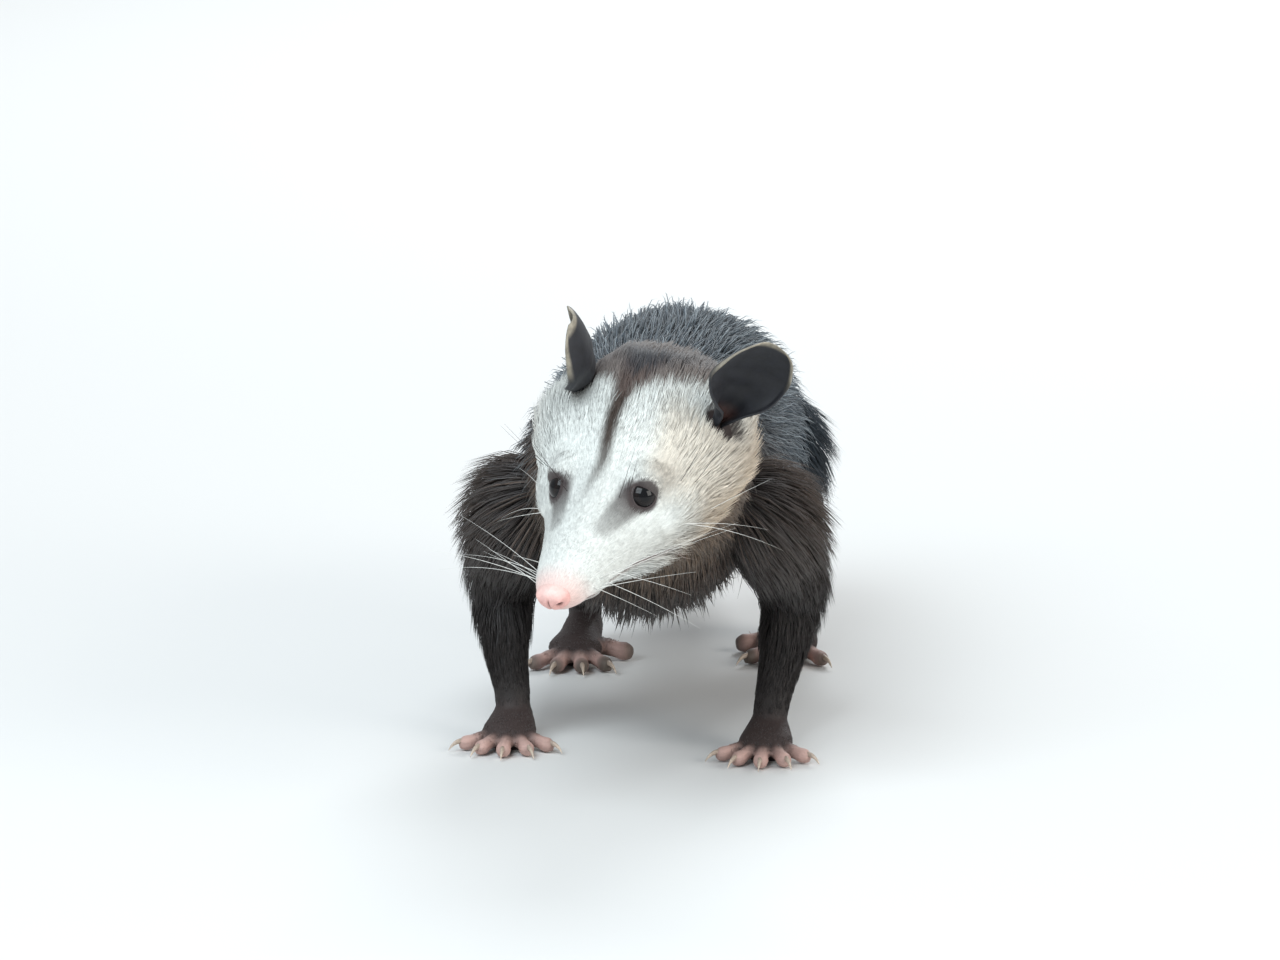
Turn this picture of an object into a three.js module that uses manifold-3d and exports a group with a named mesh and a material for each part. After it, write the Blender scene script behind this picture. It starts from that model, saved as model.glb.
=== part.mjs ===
// A grown Virginia opossum, life size, standing on four feet with its head lowered and turned to its right.
// Millimetres, +Z up. The animal faces -Y, so its left side is +X. The origin is the middle of its footprint.

import * as THREE from "three";
import { mergeVertices } from "three/addons/utils/BufferGeometryUtils.js";
import Module from "manifold-3d";

const wasm = await Module();
wasm.setup();
const { Manifold, Mesh: SolidMesh } = wasm;

// Driving dimensions
const gap = 0.3; // clearance between two nodes that touch
const coatDepth = 15; // skin to hair tips on the flanks, standing off the body
const coreDepth = coatDepth * 0.4; // how much of it is solid under the locks
const lockSink = 3; // how deep a lock is rooted
const bodyTurn = 6.5; // the trunk's heading, degrees to the animal's right of -Y
const headYaw = 26; // the head's heading, the same way
const headPitch = 33; // nose down
const shoulderSpot = [0, 10]; // the floor below the shoulders
const eyeMiddle = [-16, -92, 130.5]; // midway between the eyes
const wristHeight = 20;
const ankleHeight = 24;
const foreStance = 55; // each foot's distance from the middle line
const hindStance = 46;
const weldSize = 0.005; // edges shorter than this are closed up where solids join
const UP = new THREE.Vector3(0, 0, 1);
const radians = THREE.MathUtils.degToRad;
const listOf = (count, make) => Array.from({ length: count }, (_, i) => make(i));

// The body's own frame: a place is given as side (left is positive), back and height.
const bodyPose = new THREE.Matrix4()
  .makeTranslation(shoulderSpot[0], shoulderSpot[1], 0)
  .multiply(new THREE.Matrix4().makeRotationZ(radians(-bodyTurn)));
const onBody = (side, back, height) => new THREE.Vector3(side, back, height).applyMatrix4(bodyPose);
const backwards = new THREE.Vector3(0, 1, 0).transformDirection(bodyPose);

// The head's own frame: x to the nose, y to its left, z to its crown, from midway between the eyes.
const headPose = new THREE.Matrix4()
  .makeTranslation(...eyeMiddle)
  .multiply(new THREE.Matrix4().makeRotationZ(radians(-90 - headYaw)))
  .multiply(new THREE.Matrix4().makeRotationY(radians(headPitch)));
const onHead = (x, y, z) => new THREE.Vector3(x, y, z).applyMatrix4(headPose);
const headWay = (x, y, z) => new THREE.Vector3(x, y, z).transformDirection(headPose);

// Solids

function solidOf(geometry) {
  const bare = geometry.clone();
  bare.deleteAttribute("normal");
  bare.deleteAttribute("uv");
  const merged = mergeVertices(bare, 1e-4);
  return new Manifold(
    new SolidMesh({
      numProp: 3,
      vertProperties: merged.attributes.position.array,
      triVerts: new Uint32Array(merged.index.array),
      tolerance: weldSize,
    }),
  );
}

function solidOfFaces(points, triangles) {
  const geometry = new THREE.BufferGeometry().setFromPoints(points);
  geometry.setIndex(triangles);
  return solidOf(geometry);
}

const joined = (solids) => Manifold.union(solids);

// The largest closed surface of a solid: scraps go, and sealed hollows fill.
function largestOf(solid) {
  const bodies = solid.decompose().filter((body) => body.volume() > 0);
  return bodies.reduce((best, body) => (body.volume() > best.volume() ? body : best));
}

// Both sides of a plane cut, a gap apart. The plane is given by its point and the way its normal looks.
function parted(solid, at, normal) {
  const way = normal.clone().normalize();
  const offset = way.dot(at);
  const ahead = solid.trimByPlane(way.toArray(), offset + gap / 2);
  const behind = solid.trimByPlane(way.clone().negate().toArray(), -offset + gap / 2);
  return { ahead: largestOf(ahead), behind: largestOf(behind) };
}

const aboveFloor = (solid) => solid.trimByPlane([0, 0, 1], 0);

// A ring of a tube: its centre, half width, and reach above and below the centre. Its upper half is an
// ellipse at fullness 2, and comes nearer to a roof as the fullness falls to 1.
const ring = (at, wide, top, bottom = top, fullness = 2) => ({ at, wide, top, bottom, fullness });

// A smooth tube through rings. pointAt gives the point at t along it and at an angle around it.
function tubeThrough(rings, reference = UP) {
  const curve = (points) => new THREE.CatmullRomCurve3(points, false, "centripetal");
  const centres = curve(rings.map((r) => r.at));
  const girths = curve(rings.map((r) => new THREE.Vector3(r.wide, r.top, r.bottom)));
  const fullnesses = curve(rings.map((r, i) => new THREE.Vector3(i, r.fullness, 0)));
  const frameAt = (t) => {
    const along = centres.getTangent(t);
    const across = reference.clone().cross(along).normalize();
    return { centre: centres.getPoint(t), along, across, upward: along.clone().cross(across) };
  };
  const pointAt = (t, angle, grow = 0) => {
    const { centre, across, upward } = frameAt(t);
    const girth = girths.getPoint(t);
    const power = Math.sin(angle) > 0 ? 2 / fullnesses.getPoint(t).y : 1;
    const bent = (share) => Math.sign(share) * Math.abs(share) ** power;
    const reach = (Math.sin(angle) > 0 ? girth.y : girth.z) + grow;
    return centre
      .addScaledVector(across, bent(Math.cos(angle)) * (girth.x + grow))
      .addScaledVector(upward, bent(Math.sin(angle)) * reach);
  };
  return { frameAt, pointAt, length: centres.getLength() };
}

// A closed solid through sections of like points, from one end point to the other. Each section runs
// anticlockwise as seen from the far end.
function loft(start, sections, end) {
  const sides = sections[0].length;
  const points = [...sections.flat(), start, end];
  const triangles = [];
  for (let i = 0; i < sections.length - 1; i++)
    for (let j = 0; j < sides; j++) {
      const a = i * sides + j;
      const b = i * sides + ((j + 1) % sides);
      triangles.push(a, b, b + sides, a, b + sides, a + sides);
    }
  const lastRing = (sections.length - 1) * sides;
  for (let j = 0; j < sides; j++) {
    const next = (j + 1) % sides;
    triangles.push(points.length - 2, next, j);
    triangles.push(points.length - 1, lastRing + j, lastRing + next);
  }
  return solidOfFaces(points, triangles);
}

function tubeSolid(tube, lengths, sides, grow = 0) {
  const section = (i) => listOf(sides, (j) => tube.pointAt(i / lengths, (2 * Math.PI * j) / sides, grow));
  const first = tube.frameAt(0);
  const last = tube.frameAt(1);
  return loft(
    first.centre.addScaledVector(first.along, -grow),
    listOf(lengths + 1, section),
    last.centre.addScaledVector(last.along, grow),
  );
}

function ellipsoid(at, radii, pose, across = 12, around = 16) {
  const geometry = new THREE.SphereGeometry(1, around, across).scale(...radii);
  return solidOf(geometry.translate(...at).applyMatrix4(pose));
}

// Seeded draws between two numbers, the same on every run
function drawsFrom(seed) {
  let state = seed;
  return (low, high) => {
    state = (state * 1664525 + 1013904223) % 4294967296;
    return low + (high - low) * (state / 4294967296);
  };
}

// A lock of hair: flat beneath, low-ridged above, tapered and bent. It leaves the surface at its lift, lies
// down towards its tip and swings to one side. Each section: place along it, share of width and of thickness.
const lockSections = [
  [0, 0.75, 1],
  [0.38, 1, 0.9],
  [0.74, 0.62, 0.6],
];

function lock({ root, outward, lie, length, width, thickness, lift, swing }, grow = 0) {
  const across = outward.clone().cross(lie);
  const place = (s) =>
    root
      .clone()
      .addScaledVector(lie, s * length * Math.cos(lift / 2))
      .addScaledVector(outward, length * Math.sin(lift) * (s - (s * s) / 2) - lockSink)
      .addScaledVector(across, length * swing * s * s);
  const section = ([s, wide, thick]) => {
    const floor = place(s).addScaledVector(outward, -grow);
    const half = (width * wide) / 2 + 2 * grow;
    const ridge = place(s).addScaledVector(outward, thickness * thick + grow);
    return [floor.clone().addScaledVector(across, half), ridge, floor.addScaledVector(across, -half)];
  };
  const rootEnd = place(0).addScaledVector(lie, -1 - grow);
  return loft(rootEnd, lockSections.map(section), place(1).addScaledVector(lie, grow));
}

// The surface of a tube at a spot: the way out of it, and the way that hair lies on it, which is along the
// tube and drawn down by droop.
function surfaceAt(tube, t, angle, grow, droop) {
  const step = 0.004;
  const root = tube.pointAt(t, angle, grow);
  const along = tube.pointAt(t + step, angle, grow).sub(tube.pointAt(t - step, angle, grow)).normalize();
  const around = tube.pointAt(t, angle + step, grow).sub(tube.pointAt(t, angle - step, grow));
  const outward = around.cross(along).normalize();
  const lie = along.addScaledVector(UP, -droop);
  lie.addScaledVector(outward, -lie.dot(outward)).normalize();
  return { root, outward, lie };
}

function bounded(solid) {
  const { min, max } = solid.boundingBox();
  return { solid, box: new THREE.Box3(new THREE.Vector3(...min), new THREE.Vector3(...max)) };
}

const isClearOf = (one, others) =>
  others.every((other) => !one.box.intersectsBox(other.box) || one.solid.intersect(other.solid).isEmpty());

// How a lock may give way to what is in its path: shares of its lift and length, and how far it moves on
// along the coat.
const givings = [
  [1, 1, 0],
  [1.5, 0.9, 0],
  [0.6, 0.85, 0],
  [1, 0.9, -6],
  [1, 0.9, 7],
  [1.9, 0.7, 0],
  [1, 0.85, 14],
  [1.2, 0.8, -11],
  [0.8, 0.5, 0],
  [1.3, 0.6, 10],
];

// The first form of a lock that keeps the gap from all that isn't its own node, if any does.
function settled(hairAt, others) {
  for (const [lift, length, onward] of givings) {
    const hair = hairAt(onward);
    const form = { ...hair, lift: hair.lift * lift, length: hair.length * length };
    if (isClearOf(bounded(lock(form, gap)), others)) return bounded(lock(form));
  }
  return null;
}

// Head: one tube from the nose back, coat included. Each row: x, half width, top, bottom, fullness.
const headOutline = [
  [58, 5, -0.5, -9, 2],
  [55, 9, 2.5, -12.5, 2],
  [49, 12, 4.5, -16, 2],
  [40, 15, 7, -20, 1.95],
  [28, 19, 8.5, -25, 1.85],
  [15, 24, 10, -30, 1.7],
  [3, 30.5, 12, -34.5, 1.55],
  [-10, 37.5, 15, -38, 1.5],
  [-25, 43, 20.5, -41, 1.65],
  [-41, 46, 26, -41, 1.85],
  [-57, 43, 28.5, -36, 2],
  [-69, 34, 23, -27, 2],
  [-76, 18, 13, -16, 2],
];
const headTube = tubeThrough(
  headOutline.map(([x, wide, top, bottom, fullness]) => {
    const middle = bottom + (top - bottom) * 0.48;
    return ring(onHead(x, 0, middle), wide, top - middle, middle - bottom, fullness);
  }),
  headWay(0, 0, 1),
);
const headCore = (grow = 0) => tubeSolid(headTube, 22, 20, grow);

// Lower jaw: the part of the head under the line of the mouth, set in a little under the upper lip.
const mouthLine = [
  [48, -11.5],
  [36, -14],
  [20, -18],
  [7, -22],
  [0, -27],
];
const jawAngle = [-18, -56];
const lipOverhang = 0.8;

function jawCell(grow = 0) {
  const shape = new THREE.Shape();
  shape.moveTo(mouthLine[0][0] + grow, jawAngle[1]);
  for (const [x, z] of mouthLine) shape.lineTo(x + (x > 40 ? grow : 0), z + grow);
  shape.lineTo(jawAngle[0] - grow, jawAngle[1]);
  const halfSpan = 45;
  const cell = new THREE.ExtrudeGeometry(shape, { depth: 2 * halfSpan, bevelEnabled: false });
  return solidOf(cell.rotateX(Math.PI / 2).translate(0, halfSpan, 0).applyMatrix4(headPose));
}

// Eyes and lids
const eyeRadius = 6.2;
const eyeAt = (side) => [-2, side * 18, 0.5];
const gaze = (side) => new THREE.Vector3(0.45, side * 0.64, 0.62).normalize();
const eyeball = (side, grow = 0) => {
  const size = eyeRadius + grow;
  return ellipsoid(eyeAt(side), [size, size, size], headPose, 6, 11);
};

function lids(side) {
  const rim = new THREE.TorusGeometry(5.7, 1.5, 4, 12).scale(1.14, 0.96, 1);
  const turn = new THREE.Matrix4().lookAt(gaze(side), new THREE.Vector3(), new THREE.Vector3(0, 0, 1));
  const at = new THREE.Vector3(...eyeAt(side)).addScaledVector(gaze(side), 2.4);
  return solidOf(rim.applyMatrix4(turn).translate(...at).applyMatrix4(headPose));
}

// Nose pad with a nostril on each side
const nosePad = (grow = 0) =>
  ellipsoid([55.5, 0, -4], [5.8 + grow, 7.5 + grow, 5.6 + grow], headPose, 7, 12);
const nostril = (side) => ellipsoid([59.6, side * 4.6, -4.6], [2.6, 1.6, 1.8], headPose, 5, 7);

// Ears: thin cupped leaves, rolled at the root and open above.
const earLength = 50;
const earThickness = 1.3;
const earWidest = 21; // half the leaf's breadth along its curve

function earLeaf({ at, way, facing }, grow = 0) {
  const steps = 7;
  const half = 3;
  const cupped = facing.clone().addScaledVector(way, -facing.dot(way)).normalize();
  const across = way.clone().cross(cupped);
  const leaf = [];
  for (let i = 0; i <= steps; i++) {
    const s = (i / steps) * 0.985;
    const belly = s < 0.5 ? 0.6 + 0.8 * s : Math.sqrt(1 - ((s - 0.5) / 0.5) ** 2);
    const arc = earWidest * belly + grow;
    const roll = THREE.MathUtils.lerp(2.2, 0.75, Math.min(1, s / 0.6));
    const radius = arc / roll;
    for (let j = -half; j <= half; j++) {
      const turn = (roll * j) / half;
      const inward = cupped.clone().multiplyScalar(Math.cos(turn)).addScaledVector(across, -Math.sin(turn));
      const point = at
        .clone()
        .addScaledVector(way, s * earLength)
        .addScaledVector(cupped, radius * (1 - Math.cos(turn)) - 4 * Math.sin(Math.PI * s))
        .addScaledVector(across, radius * Math.sin(turn));
      leaf.push({ point, inward });
    }
  }
  const face = (side) =>
    leaf.map(({ point, inward }) => point.clone().addScaledVector(inward, side * (earThickness / 2 + grow)));
  const points = [...face(1), ...face(-1)];
  const columns = 2 * half + 1;
  const behind = leaf.length;
  const triangles = [];
  for (let i = 0; i < steps; i++)
    for (let j = 0; j < columns - 1; j++) {
      const a = i * columns + j;
      const [b, c, d] = [a + 1, a + columns + 1, a + columns];
      triangles.push(a, b, c, a, c, d);
      triangles.push(behind + a, behind + c, behind + b, behind + a, behind + d, behind + c);
    }
  const rim = [];
  for (let j = 0; j < columns - 1; j++) rim.push(j);
  for (let i = 0; i < steps; i++) rim.push(i * columns + columns - 1);
  for (let j = columns - 1; j > 0; j--) rim.push(steps * columns + j);
  for (let i = steps; i > 0; i--) rim.push(i * columns);
  rim.forEach((a, k) => {
    const b = rim[(k + 1) % rim.length];
    triangles.push(a, behind + a, behind + b, a, behind + b, b);
  });
  return solidOfFaces(points, triangles);
}

const ears = {
  left: { at: onHead(-46, 32, 6), way: headWay(-0.2, 0.6, 0.76), facing: headWay(0.8, 0.55, -0.1) },
  right: { at: onHead(-50, -31, 8), way: headWay(-0.15, 0.02, 0.98), facing: headWay(0.35, -0.93, 0) },
};

// Trunk: one tube from inside the head to the root of the tail.
const trunkTube = tubeThrough([
  ring(onHead(-38, 0, -12), 10, 10),
  ring(onHead(-56, 0, -9), 26, 20, 17),
  ring(onBody(9, -34, 143), 33, 30, 36),
  ring(onBody(4, -14, 130), 38, 36, 43),
  ring(onBody(0, 12, 118), 42, 41, 51),
  ring(onBody(0, 45, 113), 43, 44, 50),
  ring(onBody(0, 85, 112), 43, 44, 51),
  ring(onBody(0, 125, 110), 42.5, 43, 50),
  ring(onBody(0, 165, 106), 40, 40, 46),
  ring(onBody(0, 200, 101), 36, 36, 41),
  ring(onBody(0, 227, 96), 27, 29, 30),
  ring(onBody(0, 245, 92), 14, 14, 14),
]);
const trunkCore = (grow = 0) => tubeSolid(trunkTube, 20, 20, coreDepth + grow);
const neckEnd = { at: onBody(3, -16, 126), normal: onBody(0, 1, -0.6).sub(onBody(0, 0, 0)) };
const chestEnd = { at: onBody(0, 108, 110), normal: backwards };

// Legs. Each joint: side, back, height and radius; mirrored by the sign of side.
const foreRings = (side, reach) => [
  ring(onBody(side * 28, 8, 112), 18, 24),
  ring(onBody(side * 47, 10, 102), 23, 27),
  ring(onBody(side * 58, 22, 80), 19, 23),
  ring(onBody(side * 61, 26, 62), 15, 17),
  ring(onBody(side * 59, 14, 38), 11, 12),
  ring(onBody(side * 56, 3 + reach, 20), 8.5, 8.5),
  ring(onBody(side * foreStance, -1 + reach, 11), 8, 8),
];
const hindRings = (side, reach) => [
  ring(onBody(side * 20, 192, 104), 23, 28),
  ring(onBody(side * 32, 186, 94), 25, 34),
  ring(onBody(side * 40, 170 + reach * 0.5, 73), 20, 26),
  ring(onBody(side * 44, 162 + reach * 0.8, 58), 15, 17),
  ring(onBody(side * 46, 184 + reach, 40), 11, 13),
  ring(onBody(side * hindStance, 206 + reach, 22), 8.5, 9.5),
  ring(onBody(side * hindStance, 208 + reach, 12), 8, 9),
];

// A toe from its knuckle to its tip, running on into a curved claw if it has one
function toe({ knuckle, way, length, thickness, claw }) {
  const along = (distance, height, wide, tall = wide) => {
    return ring(knuckle.clone().addScaledVector(way, distance).setZ(height), wide, tall);
  };
  const rings = [
    along(-5, thickness + 2, thickness * 0.9),
    along(length * 0.45, thickness + 1, thickness),
    along(length, thickness - 0.2, thickness * 0.9, thickness * 0.85),
  ];
  if (claw) rings.push(along(length + 1.5, thickness + 0.6, 1.3, 1.5), along(length + claw, 1.2, 0.4));
  else rings.push(along(length + 2, thickness - 0.5, thickness * 0.5));
  return tubeSolid(tubeThrough(rings), rings.length - 1, 5);
}

function turned(way, degrees) {
  return way.clone().applyAxisAngle(UP, radians(degrees));
}

const forwards = backwards.clone().negate();

function forePaw(side, reach) {
  const palm = tubeThrough([
    ring(onBody(side * foreStance, 3 + reach, 14), 7.5, 6, 8),
    ring(onBody(side * foreStance, -6 + reach, 9), 10.5, 6.5, 10),
    ring(onBody(side * foreStance, -15 + reach, 7), 12, 5.5, 9),
    ring(onBody(side * foreStance, -22 + reach, 5.5), 8.5, 4, 7),
  ]);
  const toes = [-56, -26, 0, 26, 56].map((spread) => {
    const way = turned(forwards, spread);
    const knuckle = onBody(side * foreStance, -12 + reach, 5).addScaledVector(way, 9);
    const length = 16 - Math.abs(spread) * 0.05;
    return toe({ knuckle, way, length, thickness: 3.3, claw: 7 });
  });
  return joined([tubeSolid(palm, 4, 8), ...toes]);
}

function hindPaw(side, reach) {
  const sole = tubeThrough([
    ring(onBody(side * hindStance, 214 + reach, 9), 6, 6, 8),
    ring(onBody(side * hindStance, 206 + reach, 10), 8.5, 8, 11),
    ring(onBody(side * hindStance, 188 + reach, 8), 10, 6.5, 10),
    ring(onBody(side * hindStance, 172 + reach, 7), 12.5, 5.5, 9),
    ring(onBody(side * hindStance, 164 + reach, 5.5), 9, 4, 7),
  ]);
  const toes = [-38, -13, 12, 37].map((spread) => {
    const way = turned(forwards, spread);
    const knuckle = onBody(side * hindStance, 174 + reach, 5).addScaledVector(way, 9);
    return toe({ knuckle, way, length: 18, thickness: 3.5, claw: 7.5 });
  });
  const inward = turned(forwards, side * -72);
  const thumbKnuckle = onBody(side * hindStance, 184 + reach, 5).addScaledVector(inward, 8);
  toes.push(toe({ knuckle: thumbKnuckle, way: inward, length: 16, thickness: 4.2 }));
  return joined([tubeSolid(sole, 6, 8), ...toes]);
}

const foreLimb = (side, reach) => {
  return { rings: foreRings(side, reach), paw: forePaw(side, reach), cut: wristHeight };
};
const hindLimb = (side, reach) => {
  return { rings: hindRings(side, reach), paw: hindPaw(side, reach), cut: ankleHeight };
};
const legs = [
  { name: "foreleg_left", foot: "forefoot_left", ...foreLimb(1, 0) },
  { name: "foreleg_right", foot: "forefoot_right", ...foreLimb(-1, 8) },
  { name: "hindleg_left", foot: "hindfoot_left", ...hindLimb(1, 6) },
  { name: "hindleg_right", foot: "hindfoot_right", ...hindLimb(-1, -16) },
];

// Tail: bare and scaly, let down to the floor, trailing to the animal's right with its tip curled back.
const tailTube = tubeThrough(
  [
    [0, 226, 99, 9],
    [0, 252, 88, 13],
    [-1, 282, 64, 11.5],
    [-5, 308, 39, 10],
    [-13, 334, 20, 8.9],
    [-25, 362, 10, 8],
    [-40, 390, 7, 7.3],
    [-50, 420, 6.1, 6.5],
    [-46, 449, 5.2, 5.6],
    [-28, 468, 4.2, 4.6],
    [-6, 470, 3.2, 3.5],
    [8, 458, 2, 2.2],
  ].map(([side, back, height, radius]) => ring(onBody(side, back, height), radius, radius)),
);
const tailCuts = [0.36, 0.66];

// Bare nodes, before the locks are set

const trunkGrown = trunkCore(gap);
const headGrown = headCore(gap);
const bareHead = largestOf(joined([headCore(), lids(1), lids(-1)]));
const jaw = largestOf(headCore(-lipOverhang).intersect(jawCell()));
const earOf = (ear) => largestOf(earLeaf(ear).subtract(headGrown).subtract(trunkGrown));
const earSolids = { left: earOf(ears.left), right: earOf(ears.right) };
const skull = largestOf(
  bareHead.subtract(joined([jawCell(gap), eyeball(1, gap), eyeball(-1, gap), nosePad(gap)])),
);
const nose = largestOf(nosePad().subtract(joined([nostril(1), nostril(-1), jawCell(gap)])));
const trunk = trunkCore().subtract(joined([headGrown, earLeaf(ears.left, gap), earLeaf(ears.right, gap)]));
const neckParted = parted(trunk, neckEnd.at, neckEnd.normal);
const bodyParted = parted(neckParted.ahead, chestEnd.at, chestEnd.normal);

const legParts = legs.map(({ rings, paw, cut }) => {
  const tube = tubeThrough(rings, forwards);
  const whole = joined([tubeSolid(tube, 10, 12), paw]).subtract(trunkGrown);
  const { ahead, behind } = parted(aboveFloor(whole), new THREE.Vector3(0, 0, cut), UP);
  return { tube, limb: ahead, foot: behind };
});

let restOfTail = aboveFloor(tubeSolid(tailTube, 27, 9)).subtract(trunkGrown);
const tailPieces = tailCuts.map((t) => {
  const { centre, along } = tailTube.frameAt(t);
  const { ahead, behind } = parted(restOfTail, centre, along);
  restOfTail = ahead;
  return behind;
});

// The coat. Every node that grows locks is listed in the order in which its locks are set, so that the locks
// nearer the nose lie over those behind them. Each node keeps its parts, core first.
const draw = drawsFrom(6);
const furred = {
  head: [skull],
  neck: [neckParted.behind],
  chest: [bodyParted.behind],
  hindquarters: [bodyParted.ahead],
  foreleg_left: [legParts[0].limb],
  foreleg_right: [legParts[1].limb],
  hindleg_left: [legParts[2].limb],
  hindleg_right: [legParts[3].limb],
};
for (const name in furred) furred[name] = furred[name].map(bounded);
const feet = legParts.map((leg) => leg.foot);
const bare = [jaw, earSolids.left, earSolids.right, tailPieces[0], ...feet].map(bounded);

function growLock(name, hairAt) {
  const others = Object.entries(furred).flatMap(([other, parts]) => (other === name ? [] : parts));
  const made = settled(hairAt, [...bare, ...others]);
  if (made) furred[name].push(made);
}

// Rows of locks round a tube. Each row: place along it, how many stand around it, their length, width and
// lift. Locks vary by these shares of their size, and the hair of the underside is shorter.
const lockVariety = 0.12;
const liftVariety = 0.2;
const thicknessShare = 0.1;
const bellyShortening = 0.25;

function growRows(tube, rows, { nodeOf, grow = 0, droop = () => 0, grows = () => true }) {
  rows.forEach(([t, count, length, width, lift], row) => {
    for (let k = 0; k < count; k++) {
      const angle = (2 * Math.PI * (k + (row % 2) / 2 + draw(-0.15, 0.15))) / count;
      const place = t + draw(-0.008, 0.008);
      const belly = 1 - bellyShortening * Math.max(0, -Math.sin(angle));
      const style = {
        length: length * belly * draw(1 - lockVariety, 1 + lockVariety),
        width: width * draw(1 - lockVariety, 1 + lockVariety),
        thickness: width * thicknessShare,
        lift: radians(lift * draw(1 - liftVariety, 1 + liftVariety)),
        swing: draw(-0.08, 0.08),
      };
      const hairAt = (onward) => {
        return { ...surfaceAt(tube, place + onward / tube.length, angle, grow, droop(angle)), ...style };
      };
      if (grows(angle)) growLock(nodeOf(hairAt(0).root), hairAt);
    }
  });
}

const isBehind = (cut, at) => at.clone().sub(cut.at).dot(cut.normal) > 0;
const cheeksOnly = (angle) => Math.sin(angle) < 0.2;
const headNode = () => "head";
const trunkNode = (at) => {
  if (isBehind(chestEnd, at)) return "hindquarters";
  return isBehind(neckEnd, at) ? "chest" : "neck";
};
const trunkRows = listOf(11, (row) => {
  const share = Math.min(1, row / 4);
  const [length, width] = [THREE.MathUtils.lerp(28, 48, share), THREE.MathUtils.lerp(21, 25.5, share)];
  return [0.15 + 0.076 * row, row < 2 ? 10 : 12, length, width, row < 2 ? 33 : 25];
});
const legRows = [
  [0.14, 5, 27, 21, 20],
  [0.27, 5, 27, 20, 20],
  [0.4, 5, 24, 18, 20],
  [0.54, 4, 19, 15, 20],
];
growRows(headTube, [[0.68, 10, 17, 16, 30]], { nodeOf: headNode, grows: cheeksOnly });
growRows(headTube, [[0.77, 11, 20, 18, 32]], { nodeOf: headNode });
growRows(headTube, [[0.86, 11, 22, 17, 32]], { nodeOf: headNode });
growRows(trunkTube, trunkRows, {
  nodeOf: trunkNode,
  grow: coreDepth,
  droop: (angle) => 0.35 * Math.abs(Math.cos(angle)),
});
legParts.forEach(({ tube }, k) => {
  growRows(tube, legRows, { nodeOf: () => legs[k].name, droop: () => 2.2 });
});

const fused = (name) => largestOf(joined(furred[name].map((part) => part.solid)));

// Colours of the finish, plain here
const finish = (color, roughness) => new THREE.MeshStandardMaterial({ color, roughness, metalness: 0 });
const coats = {
  face: finish(0xe9e4d8, 0.9),
  body: finish(0x3a3a3d, 0.9),
  leg: finish(0x211c1b, 0.9),
  bareSkin: finish(0xd8a79c, 0.55),
  ear: finish(0x26262b, 0.5),
  eye: finish(0x08080a, 0.08),
  tail: finish(0xb9a397, 0.6),
};

function meshOf(name, solid, material, pose) {
  const { vertProperties, triVerts } = solid.getMesh();
  const geometry = new THREE.BufferGeometry();
  geometry.setAttribute("position", new THREE.BufferAttribute(new Float32Array(vertProperties), 3));
  geometry.setIndex(new THREE.BufferAttribute(new Uint32Array(triVerts), 1));
  geometry.applyMatrix4(pose.clone().invert());
  geometry.computeVertexNormals();
  const mesh = new THREE.Mesh(geometry, material);
  mesh.name = name;
  return mesh;
}

function groupOf(pose, members) {
  const group = new THREE.Group();
  pose.decompose(group.position, group.quaternion, group.scale);
  for (const [name, solid, material] of members) group.add(meshOf(name, solid, material, pose));
  return group;
}

const headGroup = groupOf(headPose, [
  ["head", fused("head"), coats.face],
  ["lower_jaw", jaw, coats.face],
  ["nose", nose, coats.bareSkin],
  ["eye_left", eyeball(1), coats.eye],
  ["eye_right", eyeball(-1), coats.eye],
  ["ear_left", earSolids.left, coats.ear],
  ["ear_right", earSolids.right, coats.ear],
]);
const bodyGroup = groupOf(bodyPose, [
  ["neck", fused("neck"), coats.body],
  ["chest", fused("chest"), coats.body],
  ["hindquarters", fused("hindquarters"), coats.body],
  ...legs.map(({ name }) => [name, fused(name), coats.leg]),
  ...legs.map(({ foot }, k) => [foot, legParts[k].foot, coats.leg]),
  ["tail_root", tailPieces[0], coats.tail],
  ["tail_middle", tailPieces[1], coats.tail],
  ["tail_tip", restOfTail, coats.tail],
]);

// The origin goes to the middle of the footprint, on the floor.
const opossum = new THREE.Group();
opossum.add(headGroup, bodyGroup);
opossum.updateMatrixWorld(true);
const footprint = new THREE.Box3().setFromObject(opossum, true);
const middle = footprint.getCenter(new THREE.Vector3());
opossum.position.set(-middle.x, -middle.y, -footprint.min.z);

export default opossum;
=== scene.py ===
# A grown Virginia opossum as a life-size museum still: one skin, glass-black eyes, bare ears, nose and tail,
# horn claws, and a coat of solid tufts laid over the skin. Shapes are worked out in millimetres.

import bpy
import numpy as np
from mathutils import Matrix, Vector, kdtree


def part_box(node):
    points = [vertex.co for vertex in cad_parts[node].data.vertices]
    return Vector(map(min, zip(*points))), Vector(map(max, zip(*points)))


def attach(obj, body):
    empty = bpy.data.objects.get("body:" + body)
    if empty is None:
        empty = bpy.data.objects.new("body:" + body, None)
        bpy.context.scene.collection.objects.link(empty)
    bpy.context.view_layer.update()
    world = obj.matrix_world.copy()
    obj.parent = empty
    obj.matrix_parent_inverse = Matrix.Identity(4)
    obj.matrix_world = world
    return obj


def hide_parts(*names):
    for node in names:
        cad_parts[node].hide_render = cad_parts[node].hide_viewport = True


# The stance
# The animal stands as its solids do, facing -Y with its head turned to its right and the nose low. Places on
# the body are side, back and height; places on the head are to the nose, to its left and to its crown.

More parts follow.
